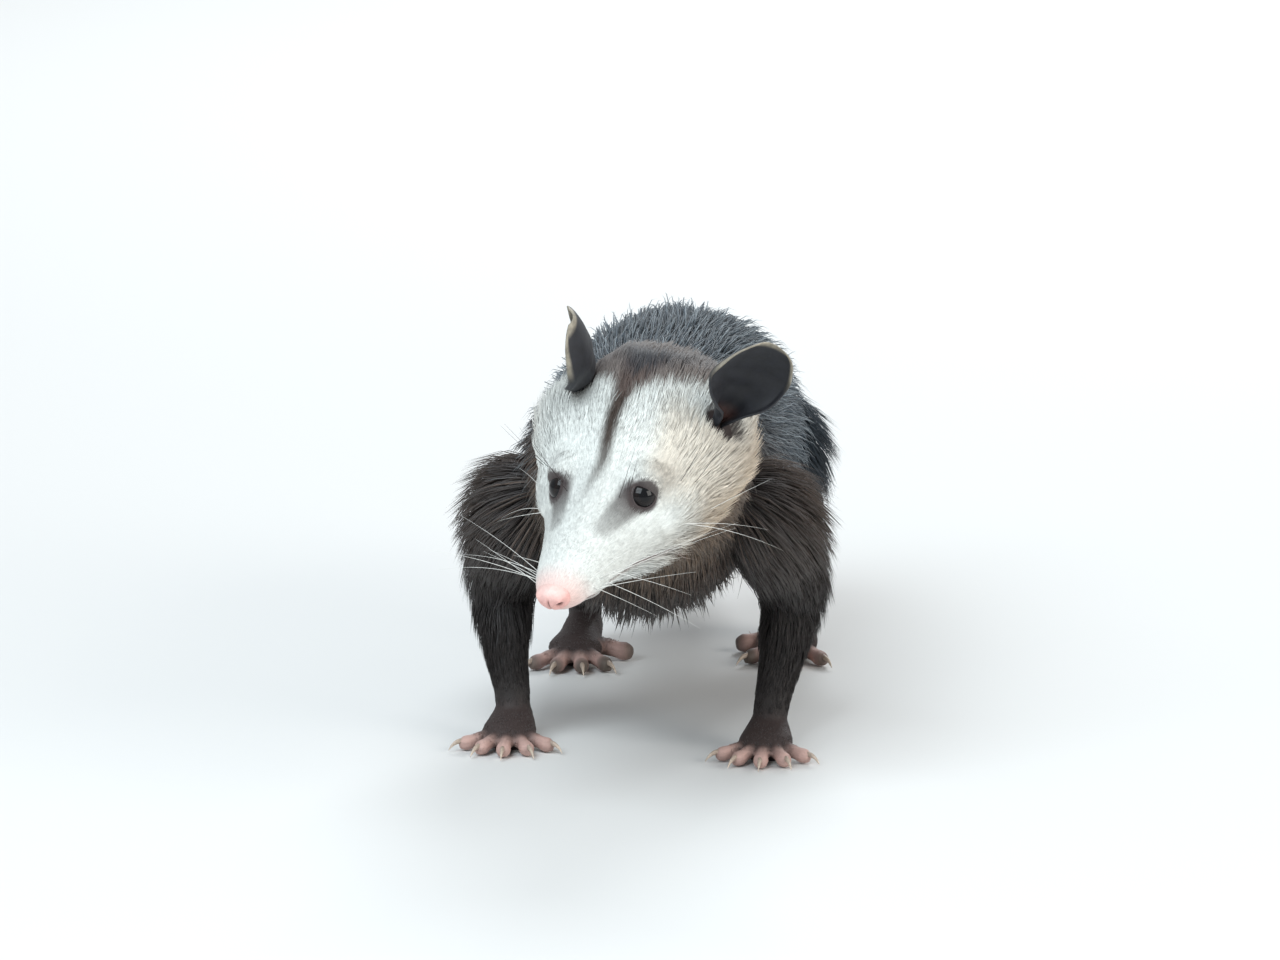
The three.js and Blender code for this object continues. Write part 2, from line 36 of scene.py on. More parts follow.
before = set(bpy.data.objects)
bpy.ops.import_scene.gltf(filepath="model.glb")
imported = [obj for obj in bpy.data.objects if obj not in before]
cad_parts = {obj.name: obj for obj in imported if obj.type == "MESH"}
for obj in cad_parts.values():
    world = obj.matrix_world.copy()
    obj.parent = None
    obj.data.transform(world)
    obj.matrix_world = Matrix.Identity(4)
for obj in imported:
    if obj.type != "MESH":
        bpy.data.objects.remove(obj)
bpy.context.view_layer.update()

UP = np.array([0.0, 0.0, 1.0])
BODY_TURN = -6.5
HEAD_YAW = -116.0
HEAD_PITCH = 33.0
SHOULDER_SPOT = np.array([0.0, 10.0, 0.0])
EYE_MIDDLE = np.array([-16.0, -92.0, 130.5])
EYE_PLACE = np.array([-2.0, 18.0, 0.5])
EYE_RADIUS = 6.2
RIGHT_AND_LEFT = {"right": -1, "left": 1}


def turned_about_up(degrees):
    cos, sin = np.cos(np.radians(degrees)), np.sin(np.radians(degrees))
    return np.array([[cos, -sin, 0.0], [sin, cos, 0.0], [0.0, 0.0, 1.0]])


def nodded(degrees):
    cos, sin = np.cos(np.radians(degrees)), np.sin(np.radians(degrees))
    return np.array([[cos, 0.0, sin], [0.0, 1.0, 0.0], [-sin, 0.0, cos]])


BODY_AXES = turned_about_up(BODY_TURN)
HEAD_AXES = turned_about_up(HEAD_YAW) @ nodded(HEAD_PITCH)


def on_body(places):
    return np.asarray(places, float) @ BODY_AXES.T + SHOULDER_SPOT


def on_head(places):
    return np.asarray(places, float) @ HEAD_AXES.T + EYE_MIDDLE


def to_head(points):
    return (points - EYE_MIDDLE) @ HEAD_AXES


def head_way(ways):
    return unit(np.asarray(ways, float) @ HEAD_AXES.T)


def unit(ways):
    ways = np.asarray(ways, float)
    return ways / np.maximum(np.linalg.norm(ways, axis=-1, keepdims=True), 1e-9)


eye_boxes = [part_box(f"eye_{side}") for side in RIGHT_AND_LEFT]
eye_middle_row = np.mean([np.add(low, high) / 2 for low, high in eye_boxes], axis=0)
ROW_SHIFT = eye_middle_row * 1000 - on_head(EYE_PLACE * [1, 0, 1])


def in_row(points):
    return (np.asarray(points, float) + ROW_SHIFT) / 1000


# The studio
# A pale floor and three broad soft lamps: a cool one high on the left, a warm one low on the right and a cool
# one from behind that edges the coat. A long lens looks down a little on the lowered face.

VIEW_DROP = np.radians(12)
VIEW_DISTANCE = 5.0
PIXELS_PER_MM = 2.4
PICTURE_WIDTH = 1280
ORIGIN_BELOW_MIDDLE = 276
AIM_BACK = -50.0
SENSOR_WIDTH = 36.0


def stood(name, data):
    made = bpy.data.objects.new(name, data)
    bpy.context.scene.collection.objects.link(made)
    return made


aim_height = (ORIGIN_BELOW_MIDDLE / PIXELS_PER_MM - AIM_BACK * np.sin(VIEW_DROP)) / np.cos(VIEW_DROP)
aim = in_row([0, AIM_BACK, aim_height])
camera_data = bpy.data.cameras.new("long_lens")
camera_data.sensor_width = SENSOR_WIDTH
camera_data.lens = SENSOR_WIDTH * VIEW_DISTANCE / (PICTURE_WIDTH / PIXELS_PER_MM / 1000)
camera_data.clip_end = 100
camera = stood("camera", camera_data)
camera.location = aim + VIEW_DISTANCE * np.array([0, -np.cos(VIEW_DROP), np.sin(VIEW_DROP)])
camera.rotation_euler = (np.pi / 2 - VIEW_DROP, 0, 0)
bpy.context.scene.camera = camera

LAMP_AIM = np.array([0, 0.05, 0.1])


def lamp(name, place, size, power, colour):
    data = bpy.data.lights.new(name, "AREA")
    data.size = size
    data.energy = power
    data.color = colour
    made = stood(name, data)
    made.location = place
    made.rotation_euler = Vector(LAMP_AIM - place).to_track_quat("-Z", "Y").to_euler()


lamp("sky_lamp", (-0.9, -1.5, 1.8), 1.7, 50, (0.84, 0.94, 1.0))
lamp("side_lamp", (1.7, -1.1, 0.9), 1.2, 20, (1.0, 0.97, 0.92))
lamp("edge_lamp", (0.4, 1.9, 1.5), 1.0, 34, (0.92, 0.97, 1.0))


def fed(node, inputs):
    """Gives each named input of a shader node its value, or the socket that feeds it."""
    for name, value in inputs.items():
        if isinstance(value, bpy.types.NodeSocket):
            node.id_data.links.new(value, node.inputs[name])
        else:
            node.inputs[name].default_value = value
    return node


world = bpy.data.worlds.new("studio_air")
world.use_nodes = True
fed(world.node_tree.nodes["Background"], {"Color": (0.86, 0.88, 0.9, 1), "Strength": 0.5})
bpy.context.scene.world = world
bpy.context.scene.view_settings.view_transform = "Standard"

FLOOR_HALF = 40.0
floor_mesh = bpy.data.meshes.new("floor")
floor_corners = [(x * FLOOR_HALF, y * FLOOR_HALF, 0) for x, y in ((-1, -1), (1, -1), (1, 1), (-1, 1))]
floor_mesh.from_pydata(floor_corners, [], [(0, 1, 2, 3)])
floor = stood("floor", floor_mesh)
floor_paint = bpy.data.materials.new("floor_paint")
floor_paint.use_nodes = True
floor_nodes = floor_paint.node_tree.nodes
floor_speck = fed(floor_nodes.new("ShaderNodeTexNoise"), {"Scale": 3})
floor_ramp = fed(floor_nodes.new("ShaderNodeValToRGB"), {"Fac": floor_speck.outputs["Fac"]})
floor_ramp.color_ramp.elements[0].color = (0.70, 0.70, 0.69, 1)
floor_ramp.color_ramp.elements[1].color = (0.76, 0.76, 0.75, 1)
fed(floor_nodes["Principled BSDF"], {"Roughness": 0.85, "Base Color": floor_ramp.outputs["Color"]})
floor_mesh.materials.append(floor_paint)


# The form under the coat
# The head, trunk, legs and paws are smooth tubes through rings, set inside the coat by its depth. Ring rows of
# the head: to the nose, half width, top, bottom, fullness of its upper half (2 is an ellipse), depth of coat.


def course(points, t):
    """A smooth course through points, evenly parted in t: a centripetal spline."""
    points = np.asarray(points, float)
    last = len(points) - 1
    place = np.clip(np.asarray(t, float), 0, 1) * last
    i = np.minimum(place.astype(int), last - 1)
    w = (place - i)[..., None]
    ends = np.vstack([2 * points[0] - points[1], points, 2 * points[-1] - points[-2]])
    a, b, c, d = (ends[i + k] for k in range(4))
    knot_gap = lambda p, q: np.maximum(np.linalg.norm(q - p, axis=-1, keepdims=True) ** 0.5, 1e-4)
    ab, bc, cd = knot_gap(a, b), knot_gap(b, c), knot_gap(c, d)
    leave = ((b - a) / ab - (c - a) / (ab + bc) + (c - b) / bc) * bc
    reach = ((c - b) / bc - (d - b) / (bc + cd) + (d - c) / cd) * bc
    return b + w * (leave + w * (-3 * b + 3 * c - 2 * leave - reach + w * (2 * b - 2 * c + leave + reach)))


def tube(centres, girths, fullness=None, reference=UP):
    """girths are half width, reach above the centre and reach below it."""
    full = np.full(len(centres), 2.0) if fullness is None else np.asarray(fullness)
    return {"centres": np.asarray(centres), "girths": np.asarray(girths), "full": full, "reference": reference}


def frame_at(tubing, t):
    centre = course(tubing["centres"], t)
    along = unit(course(tubing["centres"], np.minimum(t + 1e-4, 1)) - course(tubing["centres"], t - 1e-4))
    across = unit(np.cross(tubing["reference"], along))
    return centre, along, across, np.cross(along, across)


def tube_points(tubing, t, angle):
    t, angle = np.broadcast_arrays(t, angle)
    centre, _, across, upward = frame_at(tubing, t)
    wide, top, bottom = np.moveaxis(course(tubing["girths"], t), -1, 0)
    row = np.column_stack([np.arange(len(tubing["full"])), tubing["full"], tubing["full"] * 0])
    power = np.where(np.sin(angle) > 0, 2 / course(row, t)[..., 1], 1)
    side = np.sign(np.cos(angle)) * np.abs(np.cos(angle)) ** power * wide
    rise = np.sign(np.sin(angle)) * np.abs(np.sin(angle)) ** power * np.where(np.sin(angle) > 0, top, bottom)
    return centre + across * side[..., None] + upward * rise[..., None]


HEAD_RINGS = [
    (58, 5, -0.5, -9, 2, 1.2),
    (55, 9, 2.5, -12.5, 2, 0.9),
    (49, 12, 4.5, -16, 2, 0.8),
    (40, 15, 7, -20, 1.95, 0.9),
    (28, 19, 8.5, -25, 1.85, 1.2),
    (15, 24, 10, -30, 1.7, 1.5),
    (3, 30.5, 12, -34.5, 1.55, 2.0),
    (-10, 37.5, 15, -38, 1.5, 2.8),
    (-25, 43, 20.5, -41, 1.65, 3.6),
    (-41, 46, 26, -41, 1.85, 4.6),
    (-57, 43, 28.5, -36, 2, 5.0),
    (-69, 34, 23, -27, 2, 5.0),
    (-76, 18, 13, -16, 2, 5.0),
]
HEAD_MIDDLE_SHARE = 0.48
ahead, wide, top, bottom, fullness, coat = np.transpose(HEAD_RINGS)
middle = bottom + (top - bottom) * HEAD_MIDDLE_SHARE
head_girths = np.column_stack([wide - coat, top - middle - coat, middle - bottom - coat])
head_tube = tube(on_head(np.column_stack([ahead, 0 * ahead, middle])), head_girths, fullness, HEAD_AXES[:, 2])

TRUNK_RINGS = [
    (on_head((-38, 0, -12)), 10, 10, 10),
    (on_head((-56, 0, -9)), 26, 20, 17),
    (on_body((9, -34, 143)), 33, 30, 36),
    (on_body((4, -14, 130)), 38, 36, 43),
    (on_body((0, 12, 118)), 42, 41, 51),
    (on_body((0, 45, 113)), 43, 44, 50),
    (on_body((0, 85, 112)), 43, 44, 51),
    (on_body((0, 125, 110)), 42.5, 43, 50),
    (on_body((0, 165, 106)), 40, 40, 46),
    (on_body((0, 200, 101)), 36, 36, 41),
    (on_body((0, 227, 96)), 27, 29, 30),
    (on_body((0, 245, 92)), 14, 14, 14),
]
trunk_tube = tube([row[0] for row in TRUNK_RINGS], [row[1:] for row in TRUNK_RINGS])

# Rows of the legs: side, back, height, half width, half depth, depth of coat, all for a left leg
FORE_STANCE = 55
HIND_STANCE = 46
FORELEG_RINGS = [
    (28, 8, 112, 18, 24, 4),
    (47, 10, 102, 23, 27, 5),
    (58, 22, 80, 19, 23, 5),
    (61, 26, 62, 15, 17, 4),
    (59, 14, 38, 11, 12, 2.4),
    (56, 3, 20, 8.5, 8.5, 1),
    (FORE_STANCE, -1, 11, 8, 8, 1),
]
HINDLEG_RINGS = [
    (20, 192, 104, 23, 28, 4),
    (32, 186, 94, 25, 34, 5),
    (40, 170, 73, 20, 26, 5),
    (44, 162, 58, 15, 17, 4),
    (46, 184, 40, 11, 13, 2.4),
    (HIND_STANCE, 206, 22, 8.5, 9.5, 1),
    (HIND_STANCE, 208, 12, 8, 9, 1),
]

# Rows of the paws: back, height, half width, reach above and below
PALM_RINGS = [(3, 14, 7.5, 6, 8), (-6, 9, 10.5, 6.5, 10), (-15, 7, 12, 5.5, 9), (-22, 5.5, 8.5, 4, 7)]
SOLE_RINGS = [(214, 9, 6, 6, 8), (206, 10, 8.5, 8, 11), (188, 8, 10, 6.5, 10), (172, 7, 12.5, 5.5, 9)]
SOLE_RINGS += [(164, 5.5, 9, 4, 7)]
PAW_COAT = 0.5
FORWARDS = -BODY_AXES[:, 1]

# Each leg: its side, how far it reaches back, its rings and its paw's, and its stance; below, each ring's share
# of that reach
LEGS = [
    ("foreleg_left", 1, 0, FORELEG_RINGS, PALM_RINGS, FORE_STANCE),
    ("foreleg_right", -1, 8, FORELEG_RINGS, PALM_RINGS, FORE_STANCE),
    ("hindleg_left", 1, 6, HINDLEG_RINGS, SOLE_RINGS, HIND_STANCE),
    ("hindleg_right", -1, -16, HINDLEG_RINGS, SOLE_RINGS, HIND_STANCE),
]
FORE_REACH_SHARES = (0, 0, 0, 0, 0, 1, 1)
HIND_REACH_SHARES = (0, 0, 0.5, 0.8, 1, 1, 1)

limb_tubes, paw_tubes = {}, {}
for leg, side, reach, rings, paw_rings, stance in LEGS:
    shares = FORE_REACH_SHARES if leg.startswith("fore") else HIND_REACH_SHARES
    places = [on_body((side * x, back + reach * part, high)) for (x, back, high, *_), part in zip(rings, shares)]
    girths = [(wide - coat, deep - coat, deep - coat) for _, _, _, wide, deep, coat in rings]
    limb_tubes[leg] = tube(places, girths, reference=FORWARDS)
    places = [on_body((side * stance, back + reach, high)) for back, high, *_ in paw_rings]
    girths = [(wide - PAW_COAT, top - PAW_COAT, bottom) for _, _, wide, top, bottom in paw_rings]
    paw_tubes[leg] = tube(places, girths)

# Toes: each knuckle, way, length, thickness and length of claw. All but the hind thumbs carry claws.
THUMB_SPREAD = -72
toes = []
for leg, side, reach, _, _, stance in LEGS:
    fore = leg.startswith("fore")
    for spread in (-56, -26, 0, 26, 56) if fore else (-38, -13, 12, 37):
        way = turned_about_up(spread) @ FORWARDS
        knuckle = on_body((side * stance, (-12 if fore else 174) + reach, 5)) + 9 * way
        toes.append((knuckle, way, *((16 - abs(spread) * 0.05, 3.3, 7.0) if fore else (18, 3.5, 7.5))))
    if not fore:
        way = turned_about_up(side * THUMB_SPREAD) @ FORWARDS
        toes.append((on_body((side * stance, 184 + reach, 5)) + 8 * way, way, 16, 4.2, 0))


# The lie of the coat
# Hair runs from the nose over the crown and along the back to the tail, down the flanks and the legs, and
# forward over the paws. Each spot takes its lie from the parts that it is nearest to.

COURSES = {"head": head_tube, "trunk": trunk_tube, **limb_tubes}
COURSES.update({f"paw_{leg}": paw for leg, paw in paw_tubes.items()})
COURSE_NAMES = list(COURSES)
COURSE_STEPS = 50
BLEND_SHARPNESS = 7.0

course_samples = {}
for name, tubing in COURSES.items():
    t = (np.arange(COURSE_STEPS) + 0.5) / COURSE_STEPS
    centre, along, across, upward = frame_at(tubing, t)
    radius = course(tubing["girths"], t).mean(axis=1)
    speed = np.linalg.norm(np.gradient(centre, axis=0), axis=1) * COURSE_STEPS
    course_samples[name] = (t, centre, along, across, upward, radius, speed)


def survey(points):
    """For points on the skin: shares of each part, nearest part, place along and round it, and the hair's lie."""
    found = {"ratio": [], "t": [], "angle": [], "along": [], "radius": [], "span": []}
    for name in COURSE_NAMES:
        t, centre, along, across, upward, radius, speed = course_samples[name]
        ratio = np.linalg.norm(points[:, None] - centre[None], axis=2) / radius
        best = ratio.argmin(axis=1)
        off = points - centre[best]
        found["ratio"].append(ratio[np.arange(len(points)), best])
        found["t"].append(np.clip(t[best] + (off * along[best]).sum(1) / speed[best], 0, 1))
        found["angle"].append(np.arctan2((off * upward[best]).sum(1), (off * across[best]).sum(1)))
        found["along"].append(along[best])
        found["radius"].append(radius[best])
        found["span"].append(np.full(len(points), speed.mean()))
    found = {key: np.array(value) for key, value in found.items()}
    share = np.exp(-BLEND_SHARPNESS * (found["ratio"] - found["ratio"].min(axis=0)))
    share /= share.sum(axis=0)
    part = found["ratio"].argmin(axis=0)
    seen = {key: found[key][part, np.arange(len(points))] for key in ("t", "angle", "radius", "span")}
    seen["share"] = dict(zip(COURSE_NAMES, share))
    seen["part"] = part
    seen["lie"] = unit((share[..., None] * found["along"]).sum(axis=0))
    seen["head"] = to_head(points)
    seen["body"] = (points - SHOULDER_SPOT) @ BODY_AXES
    seen["points"] = points
    return seen


SURVEY_BATCH = 20000


def surveyed(points):
    pieces = [survey(points[k : k + SURVEY_BATCH]) for k in range(0, len(points), SURVEY_BATCH)]
    joined = {key: np.concatenate([piece[key] for piece in pieces]) for key in pieces[0] if key != "share"}
    joined["share"] = {name: np.concatenate([piece["share"][name] for piece in pieces]) for name in COURSE_NAMES}
    return joined


# The markings
# A cream face with a brown stripe down its middle that widens into the dark crown, a dark patch round each eye that
# runs towards the nose, a tan left cheek, a pink muzzle tip, painted shade under jaw and throat, a dark back tinted
# blue by a painted sky reflection, and black-brown legs.

CREAM = (0.76, 0.78, 0.745)
TAN = (0.55, 0.37, 0.20)
STRIPE_BROWN = (0.050, 0.034, 0.026)
CROWN_DARK = (0.050, 0.050, 0.056)
EYE_PATCH = (0.050, 0.037, 0.036)
MUZZLE_PINK = (0.78, 0.45, 0.40)
LIP_DARK = (0.13, 0.05, 0.045)
CROWN_BROWN = (0.120, 0.086, 0.075)
NECK_BROWN = (0.078, 0.055, 0.043)
# The back's own coat is dark grey; its blue tint is a painted reflection of the sky.
BACK_DARK_WITH_PAINTED_SKY_BLUE = (0.025, 0.041, 0.057)
BELLY_GREY = (0.11, 0.09, 0.075)
LEG_BLACK = (0.020, 0.016, 0.015)
FOOT_SKIN = (0.045, 0.032, 0.030)
TOE_PINK = (0.50, 0.33, 0.29)
MOUTH_LINE = np.array([(48, -11.5), (36, -14), (20, -18), (7, -22), (0, -27)])
GAZE = np.array([0.45, 0.64, 0.62])
EYE_OPENING = EYE_PLACE + EYE_RADIUS * GAZE
PATCH_AT_EYE = np.array([3.0, 17.5, 4.0])
PATCH_FORWARD = np.array([22.5, 11.5, 4.8])
PATCH_BEHIND = np.array([-10.0, 24.5, 3.5])
RING_FORWARD = np.array([1.5, 0.0, 0.0])
WAIST_BACK = 90

# Each ear: its root, the way it rises, the way its cup faces and its length
EARS = {
    "left": ((-47, 36, 5), (-0.2, 0.6, 0.76), (0.8, 0.55, -0.1), 48.0),
    "right": ((-51, -23, 7), (0.0, 0.06, 1.0), (0.35, -0.93, 0), 45.0),
}
# Bare skin in each ear: how much less it counts across the cup, and how far into the cup its middle lies
BARE_IN_EARS = ((1.0, 5.0), (0.68, 4.0))
BARE_BELOW_EARS = -12


def ramp(value, start, end):
    x = np.clip((value - start) / (end - start), 0, 1)
    return x * x * (3 - 2 * x)


def layered(colour, *layers):
    """A colour with others laid over it, each by its share at every point."""
    colour = np.asarray(colour)
    for over, share in layers:
        colour = colour + (np.asarray(over) - colour) * np.clip(share, 0, 1)[:, None]
    return colour


def from_mouth(head):
    """Distance to the line of the mouth, seen from the side of the head."""
    place = head[:, [0, 2]]
    away = []
    for a, b in zip(MOUTH_LINE[:-1], MOUTH_LINE[1:]):
        along = np.clip(((place - a) @ (b - a)) / ((b - a) @ (b - a)), 0, 1)
        away.append(np.linalg.norm(place - a - along[:, None] * (b - a), axis=1))
    return np.min(away, axis=0)


def toe_share(points):
    """How far out on the toes a point of a paw is, from 0 at the knuckles to 1."""
    out = np.zeros(len(points))
    for knuckle, way, length, *_ in toes:
        off = points - knuckle
        ahead = off @ way
        near = (np.linalg.norm(off - np.outer(ahead, way), axis=1) < 9) & (ahead < length + 4)
        out = np.maximum(out, np.where(near, ramp(ahead, 2, length * 0.8), 0))
    return out


def on_left(head):
    """Places of the head, with those of its right half mirrored to its left."""
    return np.column_stack([head[:, 0], np.abs(head[:, 1]), head[:, 2]])


def from_patch(head):
    """Distance by its breadth from the patch between eye and nose, place along it, and distance behind the eye."""
    place = on_left(head)
    run = PATCH_FORWARD - PATCH_AT_EYE
    along = np.clip(((place - PATCH_AT_EYE) @ run) / (run @ run), 0, 1)
    away = np.linalg.norm(place - PATCH_AT_EYE - along[:, None] * run, axis=1)
    behind = np.linalg.norm(place - PATCH_BEHIND, axis=1)
    return away / (8.4 - 3.4 * along), along, behind


def from_eyes(head):
    """Distance to the middle of the nearer eye's opening."""
    return np.linalg.norm(on_left(head) - EYE_OPENING, axis=1)


def from_ear_roots(head):
    """Distance to the line up the middle of the nearer ear's cup, less across an ear that opens wide on the head."""
    away = []
    for (at, way, facing, _), (spread, into_cup) in zip(EARS.values(), BARE_IN_EARS):
        off = head - at - into_cup * unit(facing)
        rise_way = unit(way)
        across = np.cross(rise_way, unit(facing))
        off = off - np.outer(np.maximum(off @ rise_way, BARE_BELOW_EARS), rise_way)
        off = off - np.outer((1 - spread) * (off @ across), across)
        away.append(np.linalg.norm(off, axis=1))
    return np.min(away, axis=0)


def markings(seen):
    """The colour of each point of the skin, and how much of it is paw."""
    x, y, z = seen["head"].T
    _, back, height = seen["body"].T
    shares, roundness = seen["share"], np.sin(seen["angle"])
    over = ramp(z, -8, 2)
    from_middle = np.abs(y - np.interp(x, (-52, -32, -22, -5, 10), (5.0, 0.0, -1.5, 0.3, -2.5)))
    stripe = np.interp(x, (-48, -34, -15, 5, 14), (7.5, 3.6, 2.1, 1.5, 1.0))
    depth = np.interp(x, (-14, -3, 6, 16), (1.0, 0.75, 0.35, 0))
    band = np.interp(from_middle, (0, 10, 22, 28, 34), (-30, -38, -44, -50, -62))
    patch, forward, behind_eye = from_patch(seen["head"])
    nape = ramp(x, -50, -60) * ramp(z, 40, 18) * (1 - ramp(np.abs(y), 0, 60))
    face = layered(
        CREAM,
        (TAN, 0.55 * ramp(z, -8, -30) * ramp(x, 22, -12)),
        (TAN, 0.36 * ramp(x, 4, -14) * ramp(x, -44, -28) * ramp(np.maximum(y, -0.4 * y), 12, 24)),
        (TAN, 0.5 * ramp(x, -18, -42) * ramp(z, 4, -18)),
        (STRIPE_BROWN, depth * over * ramp(from_middle, stripe + 2.6, stripe - 1.8)),
        (CROWN_BROWN, 0.9 * over * ramp(x, band + 3, band - 4)),
        (CROWN_DARK, over * ramp(x, band - 6, band - 16)),
        (EYE_PATCH, 0.2 * ramp(behind_eye, 10, 4)),
        (EYE_PATCH, (1.0 - 0.6 * forward) * ramp(patch, 1.15, 0.55)),
        (EYE_PATCH, 0.94 * ramp(from_eyes(seen["head"] - RING_FORWARD), 8.2, 6.8)),
        (MUZZLE_PINK, 0.65 * ramp(x, 43, 55)),
        (FOOT_SKIN, ramp(from_ear_roots(seen["head"]), 9.5, 7.5)),
        (LIP_DARK, 0.8 * ramp(from_mouth(seen["head"]), 1.6, 0.5)),
        # Painted shade: the underside of the jaw and the throat darkened to the neck's brown.
        (NECK_BROWN, 0.85 * ramp(z, -24, -38) * ramp(x, 8, -25)),
        (NECK_BROWN, nape),
    )
    # The trunk starts from the dark back with its painted blue sky reflection.
    trunk = layered(
        BACK_DARK_WITH_PAINTED_SKY_BLUE,
        (NECK_BROWN, ramp(back, 60, -10) * ramp(roundness, 0.8, 0.1)),
        (NECK_BROWN, 0.75 * ramp(back, 15, -40)),
        (BELLY_GREY, ramp(roundness, -0.35, -0.85) * ramp(back, 20, 60)),
        (TAN, 0.12 * ramp(back, -20, -45) * ramp(roundness, 0.2, -0.5)),
        (LEG_BLACK, 0.8 * ramp(height, 100, 78) * ramp(back, 10, -20)),
    )
    upper = np.where((back < WAIST_BACK)[:, None], NECK_BROWN, BACK_DARK_WITH_PAINTED_SKY_BLUE)
    legs = layered(LEG_BLACK, (upper, 0.6 * ramp(height, 65, 112)))
    feet = layered(FOOT_SKIN, (TOE_PINK, toe_share(seen["points"])))
    on_paw = sum(shares[f"paw_{leg}"] for leg in paw_tubes) * ramp(height, 26, 12)
    colour = face * shares["head"][:, None] + trunk * shares["trunk"][:, None]
    colour = colour + (1 - shares["head"] - shares["trunk"])[:, None] * legs
    return layered(colour, (feet, on_paw)), on_paw


# The skin
# One closed skin over head, trunk, legs, feet and toes, without a seam. It is thin short fur on the face and
# legs, and naked on lips, soles and toes. It is cast from the tubes in one piece, then smoothed and folded.

SKIN_GRAIN = 0.00115
SKIN_POLISH = 5


def grid_quads(rows, columns, row_steps, column_steps):
    """Quads between the points of a grid; as many steps as points close it on itself."""
    i, j = np.meshgrid(np.arange(row_steps), np.arange(column_steps), indexing="ij")
    corners = ((i, j), (i, j + 1), (i + 1, j + 1), (i + 1, j))
    return np.stack([p % rows * columns + q % columns for p, q in corners], axis=-1).reshape(-1, 4)


def shell_of(grid, first, last):
    """A closed shell: a grid of points, rows along and columns round, and a point at each end."""
    rows, columns = grid.shape[:2]
    points = np.vstack([grid.reshape(-1, 3), first, last])
    ring = [(n, (n + 1) % columns) for n in range(columns)]
    count, end = rows * columns, (rows - 1) * columns
    caps = [(count, k, j) for j, k in ring] + [(count + 1, end + j, end + k) for j, k in ring]
    return points, grid_quads(rows, columns, rows - 1, columns).tolist() + caps


def turns(count):
    return np.linspace(0, 2 * np.pi, count, endpoint=False)


def tube_shell(tubing, rows=60, columns=40):
    t = np.linspace(0, 1, rows)[:, None]
    return shell_of(tube_points(tubing, t, turns(columns)[None]), frame_at(tubing, 0.0)[0], frame_at(tubing, 1.0)[0])


def ball_shell(centre, radii, rows=24, columns=32):
    rise = np.linspace(-np.pi / 2, np.pi / 2, rows + 2)[1:-1, None]
    angle = turns(columns)[None]
    ways = (np.cos(rise) * np.cos(angle), np.cos(rise) * np.sin(angle), np.sin(rise) * np.ones_like(angle))
    place = lambda ball: centre + (ball * radii) @ HEAD_AXES.T
    return shell_of(place(np.stack(ways, axis=-1)), place(-UP), place(UP))


def joined_shells(shells):
    points, faces, start = [], [], 0
    for shell_points, shell_faces in shells:
        points.append(shell_points)
        faces += [[v + start for v in face] for face in shell_faces]
        start += len(shell_points)
    return np.vstack(points), faces


def toe_tube(knuckle, way, length, thick):
    rows = [(-5, thick + 2, 0.9), (length * 0.3, thick + 1.4, 0.92), (length * 0.62, thick + 0.6, 0.86)]
    rows += [(length * 0.86, thick + 0.1, 1.0), (length + 1.6, thick - 0.4, 0.62)]
    places = [knuckle * [1, 1, 0] + way * out + UP * high for out, high, _ in rows]
    return tube(places, [(thick * share,) * 3 for *_, share in rows])


def gaze(sign):
    return head_way(GAZE * [1, sign, 1])


LID_CORNER = np.array([0.86, 0.1, -0.35])


def lid_shell(sign, major=(7.3, 6.2), minor=1.7, forward=2.2, rows=48, columns=16):
    """A closed rim round an eye, longer from corner to corner than from lid to lid."""
    look, corner = gaze(sign), head_way(LID_CORNER * [1, sign, 1])
    corner = unit(corner - look * (corner @ look))
    lid_way = np.cross(look, corner)
    centre = on_head(EYE_PLACE * [1, sign, 1]) + look * forward
    turn, around = turns(rows)[:, None, None], turns(columns)[:, None]
    out = corner * np.cos(turn) * major[0] + lid_way * np.sin(turn) * major[1]
    rim = centre + out + unit(out) * minor * np.cos(around) + look * minor * np.sin(around)
    return rim.reshape(-1, 3), grid_quads(rows, columns, rows, columns)[:, [0, 3, 2, 1]].tolist()


def smoothed(mesh):
    mesh.polygons.foreach_set("use_smooth", np.ones(len(mesh.polygons), bool))


def new_piece(name, points, faces):
    mesh = bpy.data.meshes.new(name)
    mesh.from_pydata(in_row(points).tolist(), [], faces)
    smoothed(mesh)
    mesh.update()
    return stood(name, mesh)


def taken(items, key, width, kind=float):
    """One property of all the points, edges or faces of a mesh, a row for each."""
    values = np.empty(len(items) * width, kind)
    items.foreach_get(key, values)
    return values.reshape(-1, width)


shells = [tube_shell(head_tube), tube_shell(trunk_tube, 90, 56)]
shells += [tube_shell(limb) for limb in limb_tubes.values()]
shells += [tube_shell(paw, 30, 28) for paw in paw_tubes.values()]
shells += [tube_shell(toe_tube(*toe[:4]), 20, 16) for toe in toes]

# The lips, the cheek bones and the brows: place on the left of the head, and radii
FACE_BUMPS = [((36, 8.5, -9), (13, 7, 7.5)), ((-14, 29, -13), (17, 8, 9)), ((-9, 19, 2.5), (9, 8, 8))]
for sign in (1, -1):
    shells.append(lid_shell(sign))
    shells += [ball_shell(on_head(np.array(place) * [1, sign, 1]), radii) for place, radii in FACE_BUMPS]

cast = new_piece("skin_cast", *joined_shells(shells))
casting = cast.modifiers.new("cast", "REMESH")
casting.mode = "VOXEL"
casting.voxel_size = SKIN_GRAIN
graph = bpy.context.evaluated_depsgraph_get()
skin_mesh = bpy.data.meshes.new_from_object(cast.evaluated_get(graph))
bpy.data.objects.remove(cast)

skin_count = len(skin_mesh.vertices)
skin_points = taken(skin_mesh.vertices, "co", 3) * 1000 - ROW_SHIFT
skin_edges = taken(skin_mesh.edges, "vertices", 2, int)
edge_counts = np.bincount(skin_edges.ravel(), minlength=skin_count)[:, None]


